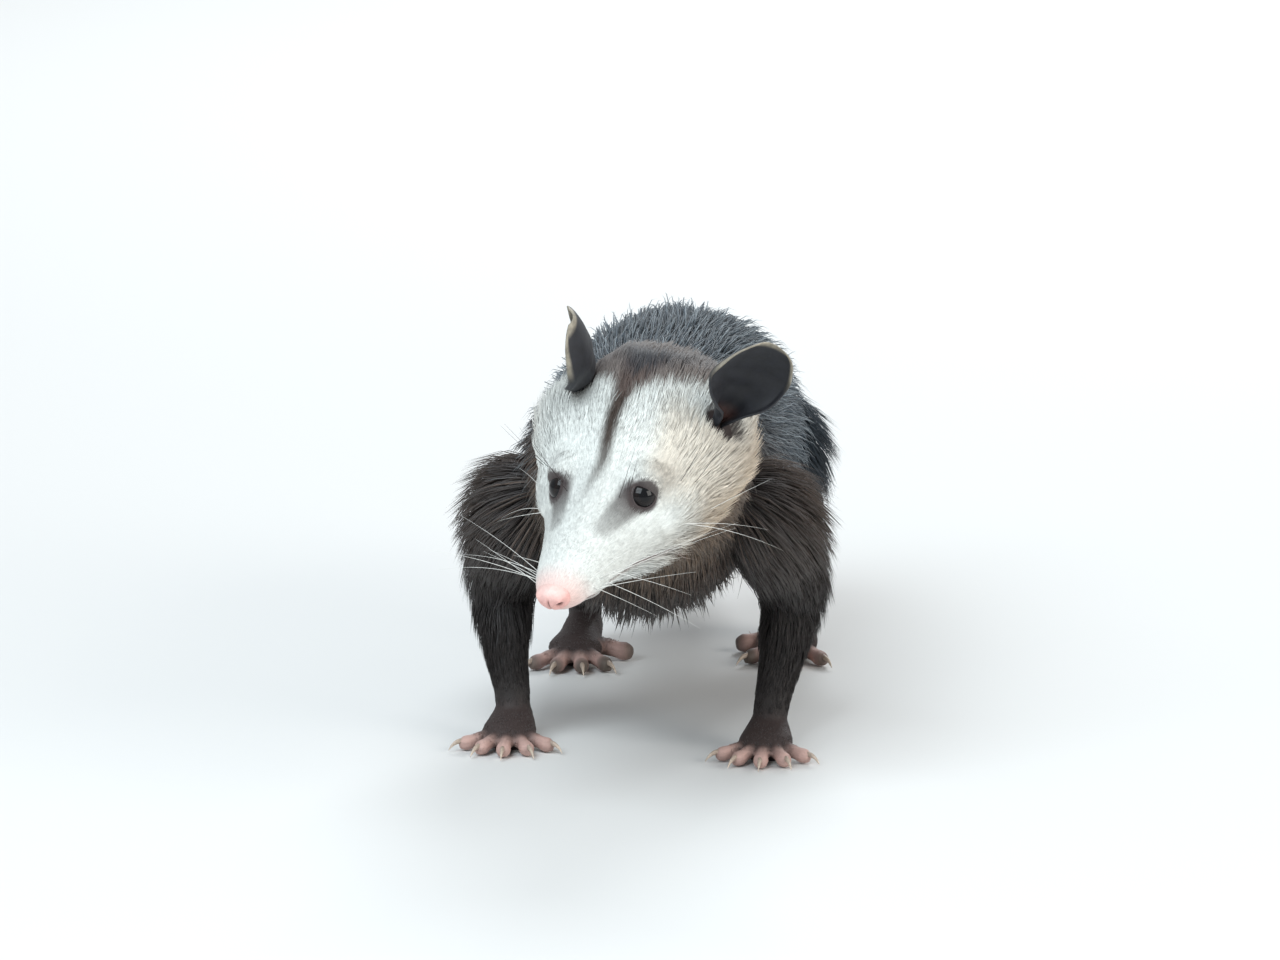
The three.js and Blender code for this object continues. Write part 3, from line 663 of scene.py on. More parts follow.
def beside(values):
    """The mean of each skin point's neighbours."""
    total = np.zeros_like(values)
    for axis in range(3):
        for near, far in ((0, 1), (1, 0)):
            total[:, axis] += np.bincount(skin_edges[:, near], values[skin_edges[:, far], axis], skin_count)
    return total / edge_counts


def relaxed(points, share):
    return points + share * (beside(points) - points)


for _ in range(SKIN_POLISH):
    skin_points = relaxed(relaxed(skin_points, 0.5), -0.52)

# The bumps of brow and cheek bone melt into the face; the lids stay crisp.
BROW_POLISH = 45
BUMP_PLACES = np.array([(-9.0, 19.0, 8.0), (-14.0, 33.0, -10.0)])
head_now = on_left(to_head(skin_points))
near_bump = np.min([np.linalg.norm(head_now - place, axis=1) for place in BUMP_PLACES], axis=0)
melt = (ramp(near_bump, 24, 15) * ramp(from_eyes(head_now), 7.5, 10))[:, None]
for _ in range(BROW_POLISH):
    skin_points = relaxed(skin_points, 0.6 * melt)


def skin_normals():
    skin_mesh.vertices.foreach_set("co", in_row(skin_points).ravel())
    skin_mesh.update()
    return taken(skin_mesh.vertices, "normal", 3)


# The mouth is a fold under a slightly hanging lip. The soles rest just above the floor.
LIP_FOLD = 1.5
LIP_HANG = 0.5
LIP_ABOVE_MOUTH = 2.2
SOLE_HEIGHT = 0.12
outward = skin_normals()
skin_head = to_head(skin_points)
x_head, y_head, z_head = skin_head.T
on_face = ramp(x_head, -6, 4) * ramp(x_head, 54, 50)
above_lip = z_head - np.interp(x_head, *MOUTH_LINE[::-1].T) - LIP_ABOVE_MOUTH
depth = -LIP_FOLD * np.exp(-((from_mouth(skin_head) / 1.0) ** 2)) + LIP_HANG * np.exp(-((above_lip / 1.4) ** 2))
skin_points = skin_points + outward * (depth * on_face)[:, None]
skin_points[:, 2] = np.maximum(skin_points[:, 2], SOLE_HEIGHT)
outward = skin_normals()

skin_seen = surveyed(skin_points)
skin_colour, on_paw = markings(skin_seen)
bareness = np.clip(on_paw + ramp(x_head, 50, 56) * skin_seen["share"]["head"], 0, 1)


def paint(mesh, colours):
    """Gives each point of a mesh its marking: a colour of its own, or the same for all."""
    colours = np.broadcast_to(colours, (len(mesh.vertices), 3))
    layer = mesh.color_attributes.new("marking", "FLOAT_COLOR", "POINT")
    layer.data.foreach_set("color", np.column_stack([colours, np.ones(len(colours))]).ravel().astype(np.float32))


# The streaks run along the hair: places round each part, and places along it drawn out, apart from part to part
HAIR_STRETCH = 7.0
PART_GAP = 40
paint(skin_mesh, skin_colour)
skin_mesh.attributes.new("bareness", "FLOAT", "POINT").data.foreach_set("value", bareness.astype(np.float32))
angle, radius = skin_seen["angle"], skin_seen["radius"]
streak = skin_seen["t"] * skin_seen["span"] / HAIR_STRETCH + PART_GAP * skin_seen["part"]
streaks = np.column_stack([radius * np.cos(angle), radius * np.sin(angle), streak]).astype(np.float32)
skin_mesh.attributes.new("streaks", "FLOAT_VECTOR", "POINT").data.foreach_set("vector", streaks.ravel())


def grain_group():
    """Fine light and dark along the hair, and the height of its strands."""
    group = bpy.data.node_groups.new("hair_grain", "ShaderNodeTree")
    entries = {"Marking": "Color", "Course": "Vector", "Contrast": "Float", "Fineness": "Float"}
    exits = {"Colour": "Color", "Roughness": "Float", "Height": "Float"}
    for way, sockets in (("INPUT", entries), ("OUTPUT", exits)):
        for name, kind in sockets.items():
            group.interface.new_socket(name, in_out=way, socket_type=f"NodeSocket{kind}")
    add = group.nodes.new
    given, put = add("NodeGroupInput").outputs, add("NodeGroupOutput")
    noise_inputs = {"Detail": 3, "Roughness": 0.65, "Vector": given["Course"], "Scale": given["Fineness"]}
    strand = fed(add("ShaderNodeTexNoise"), noise_inputs).outputs["Fac"]
    swing = fed(add("ShaderNodeMapRange"), {"From Min": 0.3, "From Max": 0.7, "To Min": -1, "Value": strand})
    share = add("ShaderNodeMath")
    share.operation = "MULTIPLY_ADD"
    fed(share, {0: swing.outputs["Result"], 1: given["Contrast"], 2: 1})
    shade = add("ShaderNodeVectorMath")
    shade.operation = "SCALE"
    fed(shade, {0: given["Marking"], "Scale": share.outputs["Value"]})
    rough = fed(add("ShaderNodeMapRange"), {"To Min": 0.48, "To Max": 0.72, "Value": strand})
    fed(put, {"Colour": shade.outputs["Vector"], "Roughness": rough.outputs["Result"], "Height": strand})
    return group


hair_grain = grain_group()


def attribute_of(nodes, name):
    node = nodes.new("ShaderNodeAttribute")
    node.attribute_name = name
    return node.outputs


def finish_of(name, fineness, contrast, bump, bump_depth=0.0002, course=None, body_inputs=None):
    """A finish that takes its colour from the marking and its grain from the lie of the hair or the place."""
    made = bpy.data.materials.new(name)
    made.use_nodes = True
    nodes = made.node_tree.nodes
    colour = attribute_of(nodes, "marking")["Color"]
    grain = nodes.new("ShaderNodeGroup")
    grain.node_tree = hair_grain
    along = attribute_of(nodes, course)["Vector"] if course else nodes.new("ShaderNodeTexCoord").outputs["Object"]
    fed(grain, {"Contrast": contrast, "Fineness": fineness, "Marking": colour, "Course": along})
    relief = nodes.new("ShaderNodeBump")
    fed(relief, {"Strength": bump, "Distance": bump_depth, "Height": grain.outputs["Height"]})
    body = {"Base Color": grain.outputs["Colour"], "Roughness": grain.outputs["Roughness"]}
    fed(nodes["Principled BSDF"], {**body, "Normal": relief.outputs["Normal"], **(body_inputs or {})})
    return made, grain, relief


def pebbles_of(nodes, scale):
    """The height of fine pebbles on naked skin."""
    pebbles = nodes.new("ShaderNodeTexVoronoi")
    place = nodes.new("ShaderNodeTexCoord").outputs["Object"]
    return fed(pebbles, {"Scale": scale, "Vector": place}).outputs["Distance"]


skin_finish, skin_grain, skin_relief = finish_of(
    "fleece_and_skin", 1.6, 0.14, 0.3, 0.0005, "streaks", {"Specular IOR Level": 0.3}
)
nodes = skin_finish.node_tree.nodes
pebbles = pebbles_of(nodes, 900)
naked = attribute_of(nodes, "bareness")["Fac"]
skin_height = nodes.new("ShaderNodeMix")
fed(skin_height, {"Factor": naked, "A": skin_grain.outputs["Height"], "B": pebbles})
fed(skin_relief, {"Height": skin_height.outputs["Result"]})
skin_mesh.materials.append(skin_finish)
smoothed(skin_mesh)
skin = stood("skin", skin_mesh)
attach(skin, "root")
feet = [leg.replace("leg", "foot") for leg in limb_tubes]
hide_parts("head", "lower_jaw", "neck", "chest", "hindquarters", *limb_tubes, *feet)

# The eyes
# Wet black balls, deep brown where light enters, each held by a dark moist rim of lid a little proud of it.

PUPIL_BLACK = (0.003, 0.003, 0.0035)
IRIS_BROWN = (0.010, 0.006, 0.005)
EYE_EDGE = (0.10, 0.06, 0.05)
LID_DARK = (0.035, 0.022, 0.022)
WET = {"Coat Weight": 1.0, "Coat IOR": 1.36, "Coat Roughness": 0.07}
WET.update({"Specular IOR Level": 0.03, "Specular Tint": (0.30, 0.68, 1.0, 1)})

for side, sign in RIGHT_AND_LEFT.items():
    centre, look = on_head(EYE_PLACE * [1, sign, 1]), gaze(sign)
    ball = new_piece(f"eyeball_{side}", *ball_shell(centre, np.full(3, EYE_RADIUS), 40, 48))
    ways = unit(taken(ball.data.vertices, "co", 3) * 1000 - ROW_SHIFT - centre)
    off = np.degrees(np.arccos(np.clip(ways @ look, -1, 1)))
    iris = ramp(off, 22, 34) * ramp(off, 52, 40)
    paint(ball.data, layered(PUPIL_BLACK, (IRIS_BROWN, iris), (EYE_EDGE, ramp(off, 58, 76))))
    ball.data.materials.append(finish_of(f"wet_eye_{side}", 900, 0.3, 0.02, body_inputs=WET)[0])
    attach(ball, "root")
    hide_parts(f"eye_{side}")
    rim = new_piece(f"lid_rim_{side}", *lid_shell(sign, (5.9, 5.05), 0.8, 3.1, 72, 14))
    paint(rim.data, LID_DARK)
    rim.data.materials.append(finish_of(f"lid_skin_{side}", 1500, 0.35, 0.4, body_inputs={"Coat Weight": 0.35})[0])
    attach(rim, "root")

# The nose
# A naked pink pad with a groove down its middle and a comma-shaped nostril opening to each side, paler on top as a
# painted highlight, with painted shade in the nostrils and the groove.

NOSE_PLACE = np.array([55.5, 0.0, -4.0])
NOSE_RADII = np.array([5.8, 7.5, 5.6])
NOSTRIL = np.array([59.4, 4.4, -4.9])
NOSE_PINK = (0.78, 0.43, 0.39)
NOSE_TOP_PAINTED_HIGHLIGHT = (0.86, 0.60, 0.55)
NOSTRIL_PAINTED_SHADE = (0.10, 0.025, 0.022)

nose_points, nose_faces = ball_shell(on_head(NOSE_PLACE), NOSE_RADII, 90, 120)
nose_head = to_head(nose_points)
nose_out = unit((nose_head - NOSE_PLACE) / NOSE_RADII**2)
ahead, aside, up = nose_head.T
pit = np.zeros(len(nose_head))
for sign in (1, -1):
    x, y, z = (nose_head - NOSTRIL * [1, sign, 1]).T
    pit = np.maximum(pit, np.exp(-((y / 1.9) ** 2) - ((z - 0.35 * y * sign) / 1.35) ** 2 - (x / 3.2) ** 2))
groove = np.exp(-((aside / 0.55) ** 2)) * ramp(up, 0, -3) * ramp(ahead, 56, 58)
wing = np.exp(-(((np.abs(aside) - 5.2) / 1.6) ** 2) - ((up + 3.2) / 2.6) ** 2)
nose_head = nose_head + nose_out * (0.5 * wing - 2.9 * pit - 0.9 * groove)[:, None]
nose = new_piece("nose_pad", on_head(nose_head), nose_faces)
# Painted shade: the nostril pits and the groove darkened.
nostril_and_groove_shade = ramp(np.maximum(pit, 0.7 * groove), 0.3, 0.8)
# Painted highlight: the top of the pad paler pink.
paint(nose.data, layered(NOSE_PINK, (NOSE_TOP_PAINTED_HIGHLIGHT, ramp(nose_head[:, 2], -3, 2)), (NOSTRIL_PAINTED_SHADE, nostril_and_groove_shade)))
moist = {"Coat Weight": 0.3, "Coat Roughness": 0.25}
nose_finish, _, nose_relief = finish_of("moist_nose", 260, 0.12, 0.6, 0.0003, body_inputs=moist)
fed(nose_relief, {"Height": pebbles_of(nose_finish.node_tree.nodes, 1300)})
nose.data.materials.append(nose_finish)
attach(nose, "root")
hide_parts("nose")

# The ears
# Naked paper-thin leaves, rolled at the root and open above, with creases that fan out from the root, a soft
# rolled rim and a small lobe in front. They are black with a pale edge and pinkish brown at the root.

EAR_HALF_BREADTH = 21.0
EAR_THICKNESS = 0.9
EAR_ROOT = -0.14
EAR_HOLLOW = 4.0
EAR_ROWS = 64
EAR_COLUMNS = 72
EAR_BLACK = (0.014, 0.015, 0.020)
EAR_EDGE = (0.36, 0.32, 0.25)
EAR_INNER = (0.075, 0.034, 0.028)


def ear_leaf(at, way, facing, length):
    """The points and faces of an ear, and how far up and how far aside each point is."""
    at, way, cupped = on_head(at), head_way(way), head_way(facing)
    cupped = unit(cupped - way * (cupped @ way))
    across = np.cross(way, cupped)
    s, j = np.meshgrid(np.linspace(EAR_ROOT, 0.985, EAR_ROWS), np.linspace(-1, 1, EAR_COLUMNS), indexing="ij")
    narrow = np.maximum(0.30 + 0.70 * np.sin(np.pi * s), 0.25)
    belly = np.where(s < 0.5, narrow, np.sqrt(np.maximum(1 - ((s - 0.5) / 0.5) ** 2, 0)))
    arc = EAR_HALF_BREADTH * belly * (1 + 0.012 * np.sin(23 * s))
    roll = 2.7 - 1.95 * ramp(s, 0, 0.6)
    turn = roll * j
    radius = arc / roll
    crease = 0.4 * np.sin(9 * j + 1.3) * np.clip(1 - s, 0, 1) ** 1.5
    crease = crease + 0.3 * np.sin(31 * s) * (1 - j * j) * ramp(s, 0.9, 0.3)
    rolled = 1.5 * ramp(np.abs(j), 0.88, 1.0) * ramp(s, 0.02, 0.3) * ramp(s, 0.96, 0.6)
    lobe = 2.6 * np.exp(-(((j + 0.86) / 0.1) ** 2) - ((s - 0.16) / 0.07) ** 2)
    inward = cupped * np.cos(turn)[..., None] - across * np.sin(turn)[..., None]
    middle = at + way * (s * length)[..., None] + across * (radius * np.sin(turn))[..., None]
    middle = middle + cupped * (radius * (1 - np.cos(turn)) - EAR_HOLLOW * np.sin(np.pi * s))[..., None]
    middle = middle + inward * (crease + rolled + lobe)[..., None]
    half = inward * (EAR_THICKNESS * (0.75 - 0.4 * s))[..., None]
    count = EAR_ROWS * EAR_COLUMNS
    front = grid_quads(EAR_ROWS, EAR_COLUMNS, EAR_ROWS - 1, EAR_COLUMNS - 1)
    walk = np.arange(count).reshape(EAR_ROWS, EAR_COLUMNS)
    edge = [*walk[0, :-1], *walk[:-1, -1], *walk[-1, :0:-1], *walk[:0:-1, 0]]
    rim = [(p, p + count, q + count, q) for p, q in zip(edge, edge[1:] + edge[:1])]
    quads = front.tolist() + (front[:, ::-1] + count).tolist() + rim
    return np.stack([middle + half, middle - half]).reshape(-1, 3), quads, np.tile(s.ravel(), 2), np.tile(j.ravel(), 2)


for side, placing in EARS.items():
    points, faces, upness, sideness = ear_leaf(*placing)
    ear = new_piece(f"ear_leaf_{side}", points, faces)
    aside = np.abs(sideness)
    edge_share = np.maximum(ramp(upness, 0.91, 0.96), ramp(aside, 0.89, 0.96) * ramp(upness, 0.5, 0.75))
    inner = ramp(upness, 0.2, 0.04) * ramp(aside, 0.95, 0.6) * np.repeat([1, 0], len(points) // 2)
    paint(ear.data, layered(EAR_BLACK, (EAR_EDGE, 0.8 * edge_share), (EAR_INNER, inner)))
    leathery = {"Specular IOR Level": 0.45, "Sheen Weight": 0.05}
    ear.data.materials.append(finish_of(f"ear_skin_{side}", 220, 0.35, 0.35, 0.0004, body_inputs=leathery)[0])
    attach(ear, "root")
    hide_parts(f"ear_{side}")

# The claws
# Short curved horn claws, one on every toe but the hind thumbs, brown at the root and pale at the point.

CLAW_ROWS = 16
CLAW_COLUMNS = 12
CLAW_ROOT = (0.20, 0.13, 0.10)
CLAW_POINT = (0.62, 0.52, 0.42)

claw_shells = []
for knuckle, way, length, thick, claw in toes:
    if not claw:
        continue
    rows = [(-3.0, 1.0, 1.5), (0.2, 1.25, 1.45), (claw * 0.4, 1.1, 1.1), (claw * 0.75, -0.2, 0.65), (claw, -2.1, 0.12)]
    places = [knuckle * [1, 1, 0] + way * (length + out) + UP * (thick + high - 0.3) for out, high, _ in rows]
    claw_tube = tube(places, [(wide * 0.8, wide, wide * 0.8) for *_, wide in rows])
    claw_shells.append(tube_shell(claw_tube, CLAW_ROWS, CLAW_COLUMNS))
claws = new_piece("claws", *joined_shells(claw_shells))
along_claw = np.append(np.repeat(np.linspace(0, 1, CLAW_ROWS), CLAW_COLUMNS), [0, 1])
paint(claws.data, layered(CLAW_ROOT, (CLAW_POINT, np.tile(along_claw, len(claw_shells)))))
claws.data.materials.append(finish_of("horn", 1200, 0.25, 0.25, body_inputs={"Coat Weight": 0.3})[0])
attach(claws, "root")

# The tail
# A naked tail in rings of small scales, let down to the floor. It is black for the first third and pinkish
# pale beyond, with painted shade in the grooves between the rings.

TAIL_RINGS = [
    (0, 226, 99, 9),
    (0, 252, 88, 13),
    (-1, 282, 64, 11.5),
    (-5, 308, 39, 10),
    (-13, 334, 20, 8.9),
    (-25, 362, 10, 8),
    (-40, 390, 7, 7.3),
    (-50, 420, 6.1, 6.5),
    (-46, 449, 5.2, 5.6),
    (-28, 468, 4.2, 4.6),
    (-6, 470, 3.2, 3.5),
    (8, 458, 2, 2.2),
]
TAIL_ROWS = 900
TAIL_COLUMNS = 40
TAIL_FROM_FLOOR = 0.1
RING_PITCH = 2.1
SCALE_SINK = 0.15
TAIL_BLACK = (0.030, 0.025, 0.026)
TAIL_PALE = (0.50, 0.36, 0.30)
TAIL_GROOVE_SHADE = (0.10, 0.06, 0.05)

tail_tube = tube([on_body(row[:3]) for row in TAIL_RINGS], [(row[3],) * 3 for row in TAIL_RINGS])
tail_t = np.linspace(0, 1, TAIL_ROWS)[:, None]
tail_angle = turns(TAIL_COLUMNS)[None]
tail_middle = frame_at(tail_tube, tail_t[:, 0])[0]
tail_run = np.concatenate([[0], np.cumsum(np.linalg.norm(np.diff(tail_middle, axis=0), axis=1))])
ring_place = tail_run[:, None] / RING_PITCH
scale_rise = 0.16 * np.abs(np.sin(np.pi * ring_place)) ** 0.7
scale_rise = scale_rise + 0.07 * np.cos(14 * tail_angle + np.pi * np.floor(ring_place))
tail_grid = tube_points(tail_tube, tail_t, tail_angle)
tail_grid = tail_grid + unit(tail_grid - tail_middle[:, None]) * (scale_rise - SCALE_SINK)[..., None]
tail_grid[..., 2] = np.maximum(tail_grid[..., 2], TAIL_FROM_FLOOR)
tail = new_piece("tail", *shell_of(tail_grid, tail_middle[0], tail_middle[-1]))
along_share = np.append(np.repeat(tail_run / tail_run[-1], TAIL_COLUMNS), [0, 1])
groove_shade_share = np.append(np.abs(np.cos(np.pi * ring_place)) ** 6 * np.ones((1, TAIL_COLUMNS)), [0, 0])
uneven = 0.025 * np.append((np.sin(5 * tail_angle) + np.sin(3 * tail_angle + 1)) * np.ones((TAIL_ROWS, 1)), [0, 0])
pale = ramp(along_share + uneven, 0.30, 0.42)
# Painted shade darkens the grooves between the rings.
paint(tail.data, layered(TAIL_BLACK, (TAIL_PALE, pale), (TAIL_GROOVE_SHADE, 0.45 * groove_shade_share)))
tail.data.materials.append(finish_of("tail_scales", 700, 0.22, 0.35)[0])
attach(tail, "root")
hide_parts("tail_root", "tail_middle", "tail_tip")

# The coat
# Flat, bent, pointed tufts in locks, rooted in the skin: a few millimetres of velvet on the muzzle, a ruff on
# the cheeks, and on neck, back and flanks a long loose coat. Tufts lean together in locks and hang a little.

HAIR_SEED = 7
HAIR_FROM_FLOOR = 0.6
DOWN = -UP
rng = np.random.default_rng(HAIR_SEED)


def coat_measures(seen, outward):
    """For each point of the skin: the length of its hair, how far it stands off, its width and density."""
    x, y, z = seen["head"].T
    height = seen["body"][:, 2]
    of_head, of_trunk = seen["share"]["head"], seen["share"]["trunk"]
    eyes, ears = from_eyes(seen["head"]), from_ear_roots(seen["head"])
    face = np.interp(x, (-60, -35, -15, 0, 15, 30, 45, 58), (15, 10.5, 7.2, 5.2, 4.2, 3.2, 2.2, 1.6))
    ruff = np.maximum(ramp(np.abs(y), 24, 40) * ramp(x, 4, -22), ramp(z, -14, -28) * ramp(x, 44, 14))
    jaw = ramp(z, -12, -26) * ramp(x, 40, 10)
    face = (face + 8 * ruff + 4 * jaw) * np.interp(ears, (7, 17), (0.4, 1))
    face = face * np.interp(eyes, (5.5, 8, 22), (0.3, 0.5, 1))
    trunk = np.interp(seen["t"], (0.05, 0.15, 0.3, 0.5, 0.8, 1), (17, 24, 33, 41, 43, 34))
    trunk = trunk * (1 - 0.12 * ramp(np.sin(seen["angle"]), -0.2, -0.9))
    leg = np.interp(height, (12, 28, 45, 75, 110), (2.2, 5, 11, 21, 27))
    length = face * of_head + trunk * of_trunk + leg * (1 - of_head - of_trunk)
    lift = np.interp(length, (2, 4.5, 8, 15, 40), (8, 9, 14, 28, 32)) + (20 * ruff + 6 * jaw) * of_head
    width = np.interp(length, (2, 4.5, 8, 15, 40), (0.24, 0.30, 0.50, 0.64, 0.92))
    density = np.interp(length, (2, 4, 6, 15, 40), (1.0, 0.9, 1.0, 0.6, 0.35))
    bald = (eyes < 6.2) | (ears < 8) | ((x > 51) & (of_head > 0.5)) | ((from_mouth(seen["head"]) < 0.8) & (x > 2))
    bald = bald | ((height < 5) & (outward[:, 2] < -0.2)) | (toe_share(seen["points"]) > 0.75)
    return length, lift, width, density * ~bald


hair_length, hair_lift, hair_width, hair_density = coat_measures(skin_seen, outward)
skin_mesh.calc_loop_triangles()
skin_triangles = taken(skin_mesh.loop_triangles, "vertices", 3, int)
corners = skin_points[skin_triangles]
triangle_area = np.linalg.norm(np.cross(corners[:, 1] - corners[:, 0], corners[:, 2] - corners[:, 0]), axis=1) / 2
first_corner = skin_triangles[:, 0]


def rooted(count, region):
    """Roots strewn over a region of the skin, each with what the skin says about its hair."""
    weight = triangle_area * hair_density[first_corner] * region[first_corner]
    chosen = rng.choice(len(weight), count, p=weight / weight.sum())
    mix = rng.dirichlet((1, 1, 1), count)
    corner = skin_triangles[chosen]
    blend = lambda values: (mix[..., None] * values[corner].reshape(count, 3, -1)).sum(axis=1)
    return {
        "root": blend(skin_points),
        "out": unit(blend(outward)),
        "lie": blend(skin_seen["lie"]),
        "length": blend(hair_length)[:, 0],
        "lift": blend(hair_lift)[:, 0],
        "width": blend(hair_width)[:, 0],
        "colour": blend(skin_colour),
        "corner": corner[:, 0],
    }


WANDER = 0.065
HANG = 0.25


def combed(hair):
    """The lie along the skin, wandering a little from lock to lock and drawn down where the hair is long."""
    wave = hair["root"] / np.array([11.0, 13.0, 12.0])
    sideways = np.cross(hair["out"], hair["lie"])
    swerve = np.sin(wave[:, 0] + 1.7 * np.sin(wave[:, 1])) + np.sin(1.9 * wave[:, 2] + 2.1 * np.sin(0.7 * wave[:, 0]))
    lie = hair["lie"] + sideways * (WANDER * swerve + rng.normal(0, 0.09, len(swerve)))[:, None]
    lie = lie + DOWN * (HANG * np.clip(hair["length"] / 30, 0, 1))[:, None]
    return unit(lie - hair["out"] * (lie * hair["out"]).sum(axis=1, keepdims=True))


BAKE_PLOTS = {"head": (0.01, 0.01, 0.47, 0.48), "trunk": (0.51, 0.01, 0.47, 0.62)}
for k, leg in enumerate(limb_tubes):
    BAKE_PLOTS[leg] = (0.01 + 0.12 * k, 0.52, 0.10, 0.46)
    BAKE_PLOTS[f"paw_{leg}"] = (0.51 + 0.12 * k, 0.66, 0.10, 0.32)
BAKE_PATCH = 0.003


def bake_places(corner):
    """The place of each root on the skin's own unwrap: each part is opened along its underside."""
    plots = np.array([BAKE_PLOTS[name] for name in COURSE_NAMES])[skin_seen["part"][corner]]
    around = ((skin_seen["angle"][corner] + np.pi / 2) % (2 * np.pi)) / (2 * np.pi)
    return plots[:, :2] + plots[:, 2:] * np.column_stack([around, skin_seen["t"][corner]])


def tree_of(points):
    tree = kdtree.KDTree(len(points))
    for k, point in enumerate(points):
        tree.insert(point, k)
    tree.balance()
    return tree


def coat_piece(
    name, hair, sections, slot, lock_every=9, gather=0.45, shades=(1.0, 1.0), uneven=0.18, flatness=0.32, evenness=0.0
):
    """
    One piece of the coat: every tuft a closed three-sided blade through its sections to a point. The tips of a
    lock gather to its leader, and evenness turns the shading of the blades toward that of the skin.
    """
    count = len(hair["root"])
    steps = np.array([s for s, _ in sections])
    shares = np.array([share for _, share in sections])
    lie = combed(hair)
    across = np.cross(hair["out"], lie)
    length = hair["length"] * rng.uniform(0.72, 1.18, count)
    lift = np.radians(hair["lift"] * rng.uniform(0.6, 1.35, count))
    swing = rng.normal(0, 0.045, count)
    sink = 0.05 + 0.02 * length
    s = np.append(steps, 1.0)[None, :, None]
    run = hair["root"][:, None] - (hair["out"] * sink[:, None])[:, None]
    run = run + lie[:, None] * s * (length * np.cos(lift / 2))[:, None, None]
    run = run + hair["out"][:, None] * (s - s * s / 2) * (length * np.sin(lift))[:, None, None]
    run = run + across[:, None] * s * s * (length * swing)[:, None, None]
    run = run + DOWN * s * s * (length * 0.06 * np.clip(length / 30, 0, 1))[:, None, None]
    leaders = np.arange(0, count, lock_every)
    tree = tree_of(hair["root"][leaders])
    leader = leaders[[tree.find(root)[1] for root in hair["root"]]]
    same_way = np.clip((lie * lie[leader]).sum(axis=1), 0, 1) * gather
    run = run + (run[leader] - run) * (s**1.4) * same_way[:, None, None]
    run[..., 2] = np.maximum(run[..., 2], HAIR_FROM_FLOOR)
    wide = (hair["width"] * rng.uniform(0.75, 1.25, count))[:, None] * shares[None]
    body = run[:, :-1]
    edge = across[:, None] * (wide / 2)[..., None]
    ridge = hair["out"][:, None] * (wide * flatness)[..., None]
    rings = np.stack([body + edge, body + ridge, body - edge], axis=2)
    levels = len(steps)
    per_tuft = 3 * levels + 1
    points = np.concatenate([rings.reshape(count, -1, 3), run[:, -1:]], axis=1).reshape(-1, 3)
    base = np.arange(count)[:, None, None] * per_tuft
    sides = ((0, 1), (1, 2), (2, 0))
    quads = [[a, b, b + 3, a + 3] for n in range(0, 3 * levels - 3, 3) for a, b in np.add(sides, n)]
    triangles = [[0, 2, 1]] + [[a, b, 3 * levels] for a, b in np.add(sides, 3 * levels - 3)]
    quads, triangles = (base + quads).reshape(-1, 4), (base + triangles).reshape(-1, 3)
    mesh = bpy.data.meshes.new(name)
    loops = np.concatenate([quads.ravel(), triangles.ravel()]).astype(np.int32)
    starts = np.concatenate([np.arange(len(quads)) * 4, len(quads) * 4 + np.arange(len(triangles)) * 3])
    mesh.vertices.add(len(points))
    mesh.vertices.foreach_set("co", in_row(points).ravel())
    mesh.loops.add(len(loops))
    mesh.loops.foreach_set("vertex_index", loops)
    mesh.polygons.add(len(starts))
    mesh.polygons.foreach_set("loop_start", starts.astype(np.int32))
    smoothed(mesh)
    mesh.update(calc_edges=True)
    if evenness:
        ways = np.stack([across, hair["out"], -across], axis=1)
        ways = np.concatenate([np.tile(ways, (1, levels, 1)), lie[:, None]], axis=1)
        ways = unit(ways + (hair["out"][:, None] - ways) * evenness)
        mesh.normals_split_custom_set_from_vertices(ways.reshape(-1, 3))
    along = np.append(np.repeat(steps, 3), 1.0)[None]
    toward = np.append(np.tile([0.5, 0, -0.5], levels), 0)[None]
    centre = bake_places(hair["corner"])[:, None]
    spread = np.stack([toward * (1 - along), along - 0.5], axis=-1) * BAKE_PATCH
    places = (centre + spread).reshape(-1, 2)[loops]
    mesh.uv_layers.new(name="OFBake").data.foreach_set("uv", places.astype(np.float32).ravel())
    root_shade, end_shade = shades
    shade = np.exp(rng.normal(0, uneven, count))[:, None] * (root_shade + (end_shade - root_shade) * along)
    colours = hair["colour"][:, None] * shade[..., None]
    if "tip_colour" in hair:
        colours = colours + (hair["tip_colour"][:, None] - colours) * (along**1.5)[..., None]
    paint(mesh, np.clip(colours, 0, 1).reshape(-1, 3))
    made = stood(name, mesh)
    mesh.materials.append(coat_finish)
    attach(made, "root")


soft = {"Specular IOR Level": 0.28, "Sheen Weight": 0.12}
coat_finish = finish_of("hair", 420, 0.14, 0.1, body_inputs=soft)[0]

SHORT_TUFT = [(0, 1.0), (0.55, 0.72)]
LONG_TUFT = [(0, 1.0), (0.4, 0.95), (0.75, 0.6)]
FACE_END = -6
FACE_TUFTS, HEAD_TUFTS, TRUNK_TUFTS, LEG_TUFTS, GUARD_TUFTS = 19000, 16500, 11500, 15000, 7500
trunk_t = skin_seen["t"]
is_head = skin_seen["share"]["head"] > 0.5
is_face = is_head & (x_head > FACE_END)
on_trunk_course = skin_seen["part"] == COURSE_NAMES.index("trunk")
is_trunk = (skin_seen["share"]["trunk"] >= 0.5) | (~is_head & on_trunk_course)
is_leg = ~is_head & ~is_trunk
is_front = skin_seen["body"][:, 1] < WAIST_BACK

